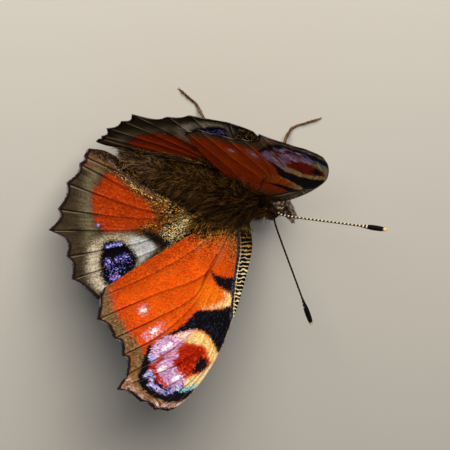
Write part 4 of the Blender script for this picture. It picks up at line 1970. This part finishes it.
@dataclass(frozen=True)
class AntennaFinish:
    """Antenna cuticle: a dark shaft dotted with pale scales, a black club and a pale tip.

    Attributes:
        name: of the material.
        ring_gap: distance between the dots in mm.
        club: the share of the length where the dots end.
    """

    name: str
    ring_gap: float = 0.55
    club: float = 0.84

    def build(self) -> Material:
        """Pale dots come from the distance along the shaft, on its outer side; the club has none."""
        net = Network(self.name)
        share = net.add(Kind.STORED, attribute_name="share")
        along = net.add(Kind.STORED, attribute_name="along")
        wave = net.add(Kind.SINE, net.add(Kind.MULTIPLY, along, 2 * math.pi / self.ring_gap))
        outer = net.add(Kind.GREATER_THAN, net.add(Kind.STORED, attribute_name="outer"), 0.1)
        dots = net.add(Kind.MULTIPLY, net.add(Kind.GREATER_THAN, wave, 0.3), outer)
        dots = net.add(Kind.MULTIPLY, dots, net.add(Kind.LESS_THAN, share, self.club))
        colour = net.add(Kind.MIX, dots, "#080606", "#DCCBB0")
        colour = net.add(Kind.MIX, net.add(Kind.RANGE, share, 0.975, 0.99), colour, "#D8B988")
        return net.shaded(colour, Roughness=0.6, Specular_IOR_Level=0.08)


@dataclass(frozen=True)
class Mouth:
    """Palps and coiled tongue.

    Attributes:
        palp_root: (ahead, out, up) in mm.
        palp_tip: (ahead, out, up) in mm.
        palp_girths: half widths in mm at the root, the middle and the tip.
        coil: (ahead, up) of the tongue's coil, and its outer and inner radius in mm.
        coil_turn: the angle in degrees at which the coil starts, and how far it turns.
        tongue_root: (ahead, left, up) in mm.
        tongue_girth: the tongue's half width at its root, in mm.
    """

    palp_root: Triple = (5.35, 0.7, -1.35)
    palp_tip: Triple = (7.2, 0.45, 0.55)
    palp_girths: Triple = (0.22, 0.27, 0.1)
    coil: tuple[float, float, float, float] = (5.2, -3.55, 1.1, 0.34)
    coil_turn: Place = (110.0, 612.0)
    tongue_root: Triple = (4.75, 0.0, -1.9)
    tongue_girth: float = 0.21

    def palp_line(self, side: Side, count: int) -> Array:
        """The palp's middle line, from inside the head to its tip."""
        start = SKULL.start(self.palp_root[0], side.value * self.palp_root[1], self.palp_root[2])
        end = BODY.at(self.palp_tip[0], side.value * self.palp_tip[1], self.palp_tip[2])
        return SKULL.sprouting(start, 0.8, end + np.array([0, 0.24, -0.8]), end, count)

    def palp(self, side: Side) -> Surface:
        """The palp's own body, a tapered tube."""
        line = self.palp_line(side, 40)
        radius = np.interp(np.linspace(0, 1, len(line)), [0, 0.5, 1], self.palp_girths)
        return swept(line, radius, 14, (1.0, 0.0, 0.0))

    def palp_hair(self, side: Side, seed: int) -> Surface:
        """Scales and hair along the palp to its tip, rooted a tenth of the half width under the surface."""
        girths = tuple((share, 0.9 * girth) for share, girth in zip((0.0, 0.5, 1.0), self.palp_girths))
        coat = Coat(length=(0.35, 0.75), width=0.08, lift=0.28, sink=0.04, scatter=0.18)
        return tube_hair(self.palp_line(side, 120), girths, (0.15, 1.0), 900, coat, seed)

    def muzzle_hair(self, seed: int) -> Surface:
        """Hair that fills the space between the palps and lies along them to their tips."""
        rng = np.random.default_rng(seed)
        lines = np.stack([self.palp_line(side, 120) for side in Side])
        count = 1500
        share = rng.uniform(0.1, 0.8, count)
        index = (share * (lines.shape[1] - 1)).astype(int)
        beside = rng.uniform(0, 1, count)[:, None]
        roots = lines[0, index] * beside + lines[1, index] * (1 - beside) + rng.normal(0, 0.08, (count, 3))
        tangents = unit(np.gradient(lines.mean(0), axis=0))[index]
        facings = unit(np.cross(tangents, np.array([1.0, 0.0, 0.0])) + rng.normal(0, 0.5, (count, 3)))
        coat = Coat(length=(0.35, 0.8), width=0.07, lift=0.12, sink=0.0, scatter=0.2)
        unwrap = np.column_stack([share * 0.96 + 0.02, 0.02 + 0.96 * beside[:, 0]])
        return tufts(roots, facings, tangents, unwrap, coat, seed + 1)

    def tongue(self) -> Surface:
        """The coiled tongue: down from the face, then 1.7 turns that close in."""
        ahead, up, outer, inner = self.coil
        turn = np.linspace(0, 1, 80)
        angle = np.radians(self.coil_turn[0] - self.coil_turn[1] * turn)
        radius = outer + (inner - outer) * turn
        coil = BODY.at(ahead + np.cos(angle) * radius, 0.0, up + np.sin(angle) * radius)
        start = SKULL.start(*self.tongue_root)
        inside = start + np.array([0.0, 0.0, 0.9])
        line = smooth_path([inside, start, *coil[::4], coil[-1]], 260)
        share = np.linspace(0, 1, len(line))
        return swept(line, self.tongue_girth * (1 - 0.3 * share), 14, (1.0, 0.0, 0.0))


@dataclass(frozen=True)
class TongueFinish:
    """The tongue's horny cuticle, ringed by fine ribs.

    Attributes:
        name: of the material.
        rib: distance between ribs in mm.
    """

    name: str
    rib: float = 0.13

    def build(self) -> Material:
        """Ribs raise the surface across its length; the hollows are darker."""
        net = Network(self.name)
        along = net.add(Kind.STORED, attribute_name="along")
        wave = net.add(Kind.SINE, net.add(Kind.MULTIPLY, along, 2 * math.pi / self.rib))
        height = net.add(Kind.MULTIPLY_ADD, wave, 0.5, 0.5)
        colour = net.add(Kind.RAMP, height, stops=((0.0, "#20130D"), (1.0, "#5A3A22")))
        return net.shaded(colour, height, Roughness=0.35, Specular_IOR_Level=0.5)


# Studio

def standing(right: Array, up: Array, back: Array, place: Array) -> Matrix:
    """The matrix of a thing at a place in mm, with its own right, up and back directions."""
    matrix = np.eye(4)
    matrix[:3, :3] = np.column_stack([right, up, back])
    matrix[:3, 3] = place * MM
    return Matrix(matrix.tolist())


@dataclass(frozen=True)
class Studio:
    """Camera, floor and light.

    Attributes:
        azimuth: of the camera in degrees, 0 looking along +Y and 90 along -X.
        elevation: of the camera over the horizon, in degrees.
        roll: of the camera about its own axis, in degrees.
        distance: from the back's middle to the camera, in mm.
        aim: how far right of and below the back's middle the picture's middle lies, in mm.
        field: width of the picture at that distance, in mm.
        floor: hex colour of the floor.
        floor_half: half the floor's side, in mm.
        sky: hex colour of the light from all round, and its strength.
        key_way: from the back's middle to the key light.
    """

    azimuth: float = 122.23
    elevation: float = 41.22
    roll: float = 173.23
    distance: float = 600.0
    aim: Place = (-2.724, 3.129)
    field: float = 60.0
    floor: str = "#ECEAE5"
    floor_half: float = 3000.0
    sky: tuple[str, float] = ("#E4E8EE", 0.064)
    key_way: Triple = (-0.4, 0.8, 0.42)

    def camera(self) -> None:
        """Places the camera from its angles; the picture is a square."""
        a, e, r = np.radians([self.azimuth, self.elevation, self.roll])
        back = np.array([math.sin(a) * math.cos(e), -math.cos(a) * math.cos(e), math.sin(e)])
        level = np.array([math.cos(a), math.sin(a), 0.0])
        upright = np.cross(back, level)
        right = level * math.cos(r) + upright * math.sin(r)
        up = np.cross(back, right)
        place = BODY.origin + right * self.aim[0] - up * self.aim[1] + back * self.distance
        data = bpy.data.cameras.new("camera")
        data.sensor_width = 36.0
        data.lens = data.sensor_width * self.distance / self.field
        data.clip_start = 0.05
        data.clip_end = 50.0
        camera = linked("camera", data)
        camera.matrix_world = standing(right, up, back, place)
        bpy.context.scene.camera = camera

    def lamp(self, name: str, direction: Array, distance: float, size: float, watts: float,
             tint: str) -> None:
        """A square area light that faces the back's middle.

        Args:
            name: of the light.
            direction: from the back's middle to the light.
            distance: to the light, in mm.
            size: of its side, in mm.
            watts: its power.
            tint: hex colour.
        """
        data = bpy.data.lights.new(name, "AREA")
        data.size = size * MM
        data.energy = watts
        data.color = linear_colour(tint)[:3]
        across = unit(np.cross(np.array([0.0, 0.0, 1.0]), direction))
        upright = np.cross(direction, across)
        place = BODY.origin + direction * distance
        linked(name, data).matrix_world = standing(across, upright, direction, place)

    def build(self) -> None:
        """Floor, world, lights and camera."""
        half = self.floor_half
        plane = np.array([[-half, -half, 0.0], [half, -half, 0.0], [half, half, 0.0], [-half, half, 0.0]])
        mesh = bpy.data.meshes.new("floor")
        mesh.from_pydata((plane * MM).tolist(), [], [(0, 1, 2, 3)])
        # Rolled matt paper shows soft shadows and no gloss.
        mesh.materials.append(Network("rolled matt paper").shaded(self.floor, Roughness=0.9))
        floor = linked("floor", mesh)
        bpy.context.scene.view_settings.view_transform = "Standard"
        world = bpy.data.worlds.new("studio")
        bpy.context.scene.world = world
        world.use_nodes = True
        background = world.node_tree.nodes["Background"]
        colour, strength = self.sky
        background.inputs["Color"].default_value = linear_colour(colour)
        background.inputs["Strength"].default_value = strength
        self.lamp("key", way(*self.key_way), distance=500.0, size=230.0, watts=4.0, tint="#FFF6E8")
        self.camera()
        log.info("studio: floor, world, key light and camera")


def build_wings(seed: int) -> None:
    """Both pairs of wings, each a sheet, its fringe and its coats of hair."""
    # Chitin scales grow in overlapping rows, so the wing is matt and its colours change scale by scale.
    under = UndersideFinish("chitin scales in rows, wing underside").build()
    uppers = {
        FOREWING.name: WingFinish("chitin scales in rows, forewing", FOREWING.marks, ("#DE5308", "#C44006"),
                                  bars=0.56, streaks=0.3, crease=0.15),
        HINDWING.name: WingFinish("chitin scales in rows, hindwing", HINDWING.marks, ("#3E3326", "#2C2417"),
                                  "#4E4034", streaks=1.5, crease=0.28),
    }
    materials = {key: finish.build() for key, finish in uppers.items()}
    # Hair and fringe scales are grown chitin, soft and dull, with paler tips that catch the light.
    fringe_tones = ("#1A1316", "#2A2126", "#463B44", "#7C707C")
    fringe = HairFinish("grown chitin, fringe scales", "#1E1618", fringe_tones).build()
    gold = HairFinish("grown chitin, wing hair", "#0C0805", SPECKLED).build()
    for plan in (FOREWING, HINDWING):
        for side in Side:
            sheet = WingSheet(plan, POSES[plan.name, side], side)
            name = f"{plan.name}_{side.word}"
            make_piece(f"{name}_sheet", sheet.build(), (materials[plan.name], under), Slot.WING, (name,))
            make_piece(f"{name}_fringe", sheet.fringe(seed), (fringe,), Slot.FUR)
            for down in plan.down:
                make_piece(f"{name}_{down.name}", sheet.hair(down, seed), (gold,), Slot.FUR)
            seed += 20


def build_body(seed: int) -> None:
    """Skin, coat, eyes and mouthparts."""
    # The cuticle hardens under flat scales, which leave a dull, mottled shell between the hairs.
    cuticle = ShellFinish("chitin cuticle under flat scales", ("#150E0A", "#241710", "#3A2618")).build()
    make_piece("body_skin", TRUNK.build(), (cuticle,), Slot.SHELL, ("thorax", "abdomen", "head"))
    hairs = {finish.name: finish.build() for finish in (THORAX_HAIR, ABDOMEN_HAIR, TIP_HAIR, ROOT_HAIR)}
    for paired, group in groupby(PELTS, key=lambda pelt: pelt.angles is not None):
        pelts = list(group)
        for side in Side if paired else (None,):
            for pelt in pelts:
                name = f"{pelt.name}_{side.word}" if side else pelt.name
                make_piece(name, TRUNK.fur(pelt, side, seed), (hairs[pelt.finish.name],), Slot.FUR)
    # The cornea is clear, smooth cuticle over dark cells: a soft gloss with pale glints from within.
    eye = EyeFinish("smooth clear chitin, eye cornea").build()
    # White scales grow on the antenna's dark outer side, so that it looks dotted.
    horn = AntennaFinish("scaled chitin, antenna").build()
    # Palps and muzzle have narrow scales in greys and lilac browns, which look brushed forward.
    palp_tones = ("#1A1214", "#33262B", "#6A545A", "#C8B4A0")
    palp_fur = HairFinish("grown chitin, palp scales", "#150E0F", palp_tones).build()
    brow_fur = HairFinish("grown chitin, brow hair", "#2A2018", ("#5A4A40", "#9A846C", "#D8C4A0")).build()
    mouth = Mouth()
    for side in Side:
        antenna, palp = f"antenna_{side.word}", f"palp_{side.word}"
        make_piece(f"eye_{side.word}_dome", EYE.build(side), (eye,), Slot.EYE, (f"eye_{side.word}",))
        make_piece(f"eye_{side.word}_brow", EYE.brow(side, seed + 15), (brow_fur,), Slot.FUR)
        make_piece(f"{antenna}_shaft", Antenna().build(side), (horn,), Slot.SHELL, (antenna,))
        make_piece(f"{palp}_core", mouth.palp(side), (cuticle,), Slot.SHELL, (palp,))
        make_piece(f"{palp}_scales", mouth.palp_hair(side, seed + 11), (palp_fur,), Slot.FUR)
    muzzle_tones = ("#120C0D", "#1E1618", "#32262A", "#6A5850")
    muzzle = HairFinish("grown chitin, muzzle hair", "#120C0D", muzzle_tones).build()
    make_piece("muzzle_hair", mouth.muzzle_hair(seed + 90), (muzzle,), Slot.FUR)
    # The tongue is bare cuticle ringed by ribs, which break its gloss into fine lines.
    tongue = TongueFinish("ribbed bare chitin, tongue").build()
    make_piece("tongue", mouth.tongue(), (tongue,), Slot.SHELL, ("proboscis",))


def build_legs(seed: int) -> None:
    """Two pairs of walking legs with claws, and the brush-like forelegs."""
    # Leg cuticle is dull under its scales; the claws are bare, hard and a little glossy.
    shell = ShellFinish("chitin cuticle, legs", ("#1C130E", "#3A2819", "#6A4C2E")).build()
    claw = ShellFinish("bare hard chitin, claws", ("#120B08", "#2A1A10"), 0.08, 0.3).build()
    scale_tones = ("#2A1C12", "#4E3820", "#7C5C36", "#A88A5C")
    fur = HairFinish("grown chitin, leg scales", "#21160F", scale_tones).build()
    for leg in (MIDLEG, HINDLEG):
        for side in Side:
            name = f"{leg.name}_{side.word}"
            nodes = tuple(f"{leg.name}_{part}_{side.word}" for part in ("femur", "tibia", "tarsus"))
            make_piece(f"{name}_core", leg.build(side), (shell,), Slot.SHELL, nodes)
            make_piece(f"{name}_scales", leg.hair(side, seed), (fur,), Slot.FUR)
            make_piece(f"{name}_claws", leg.claws(side), (claw,), Slot.SHELL)
            seed += 5
    foreleg = Foreleg()
    for side in Side:
        name = f"foreleg_{side.word}"
        make_piece(f"{name}_core", foreleg.build(side), (shell,), Slot.SHELL, (name,))
        make_piece(f"{name}_brush", foreleg.hair(side, seed), (fur,), Slot.FUR)
        seed += 5


def main() -> None:
    """Builds every piece in order."""
    logging.basicConfig(level=logging.INFO, format="%(message)s")
    Studio().build()
    build_wings(seed=100)
    build_body(seed=300)
    build_legs(seed=400)
    log.info("sizes written")


if __name__ == "__main__":
    main()
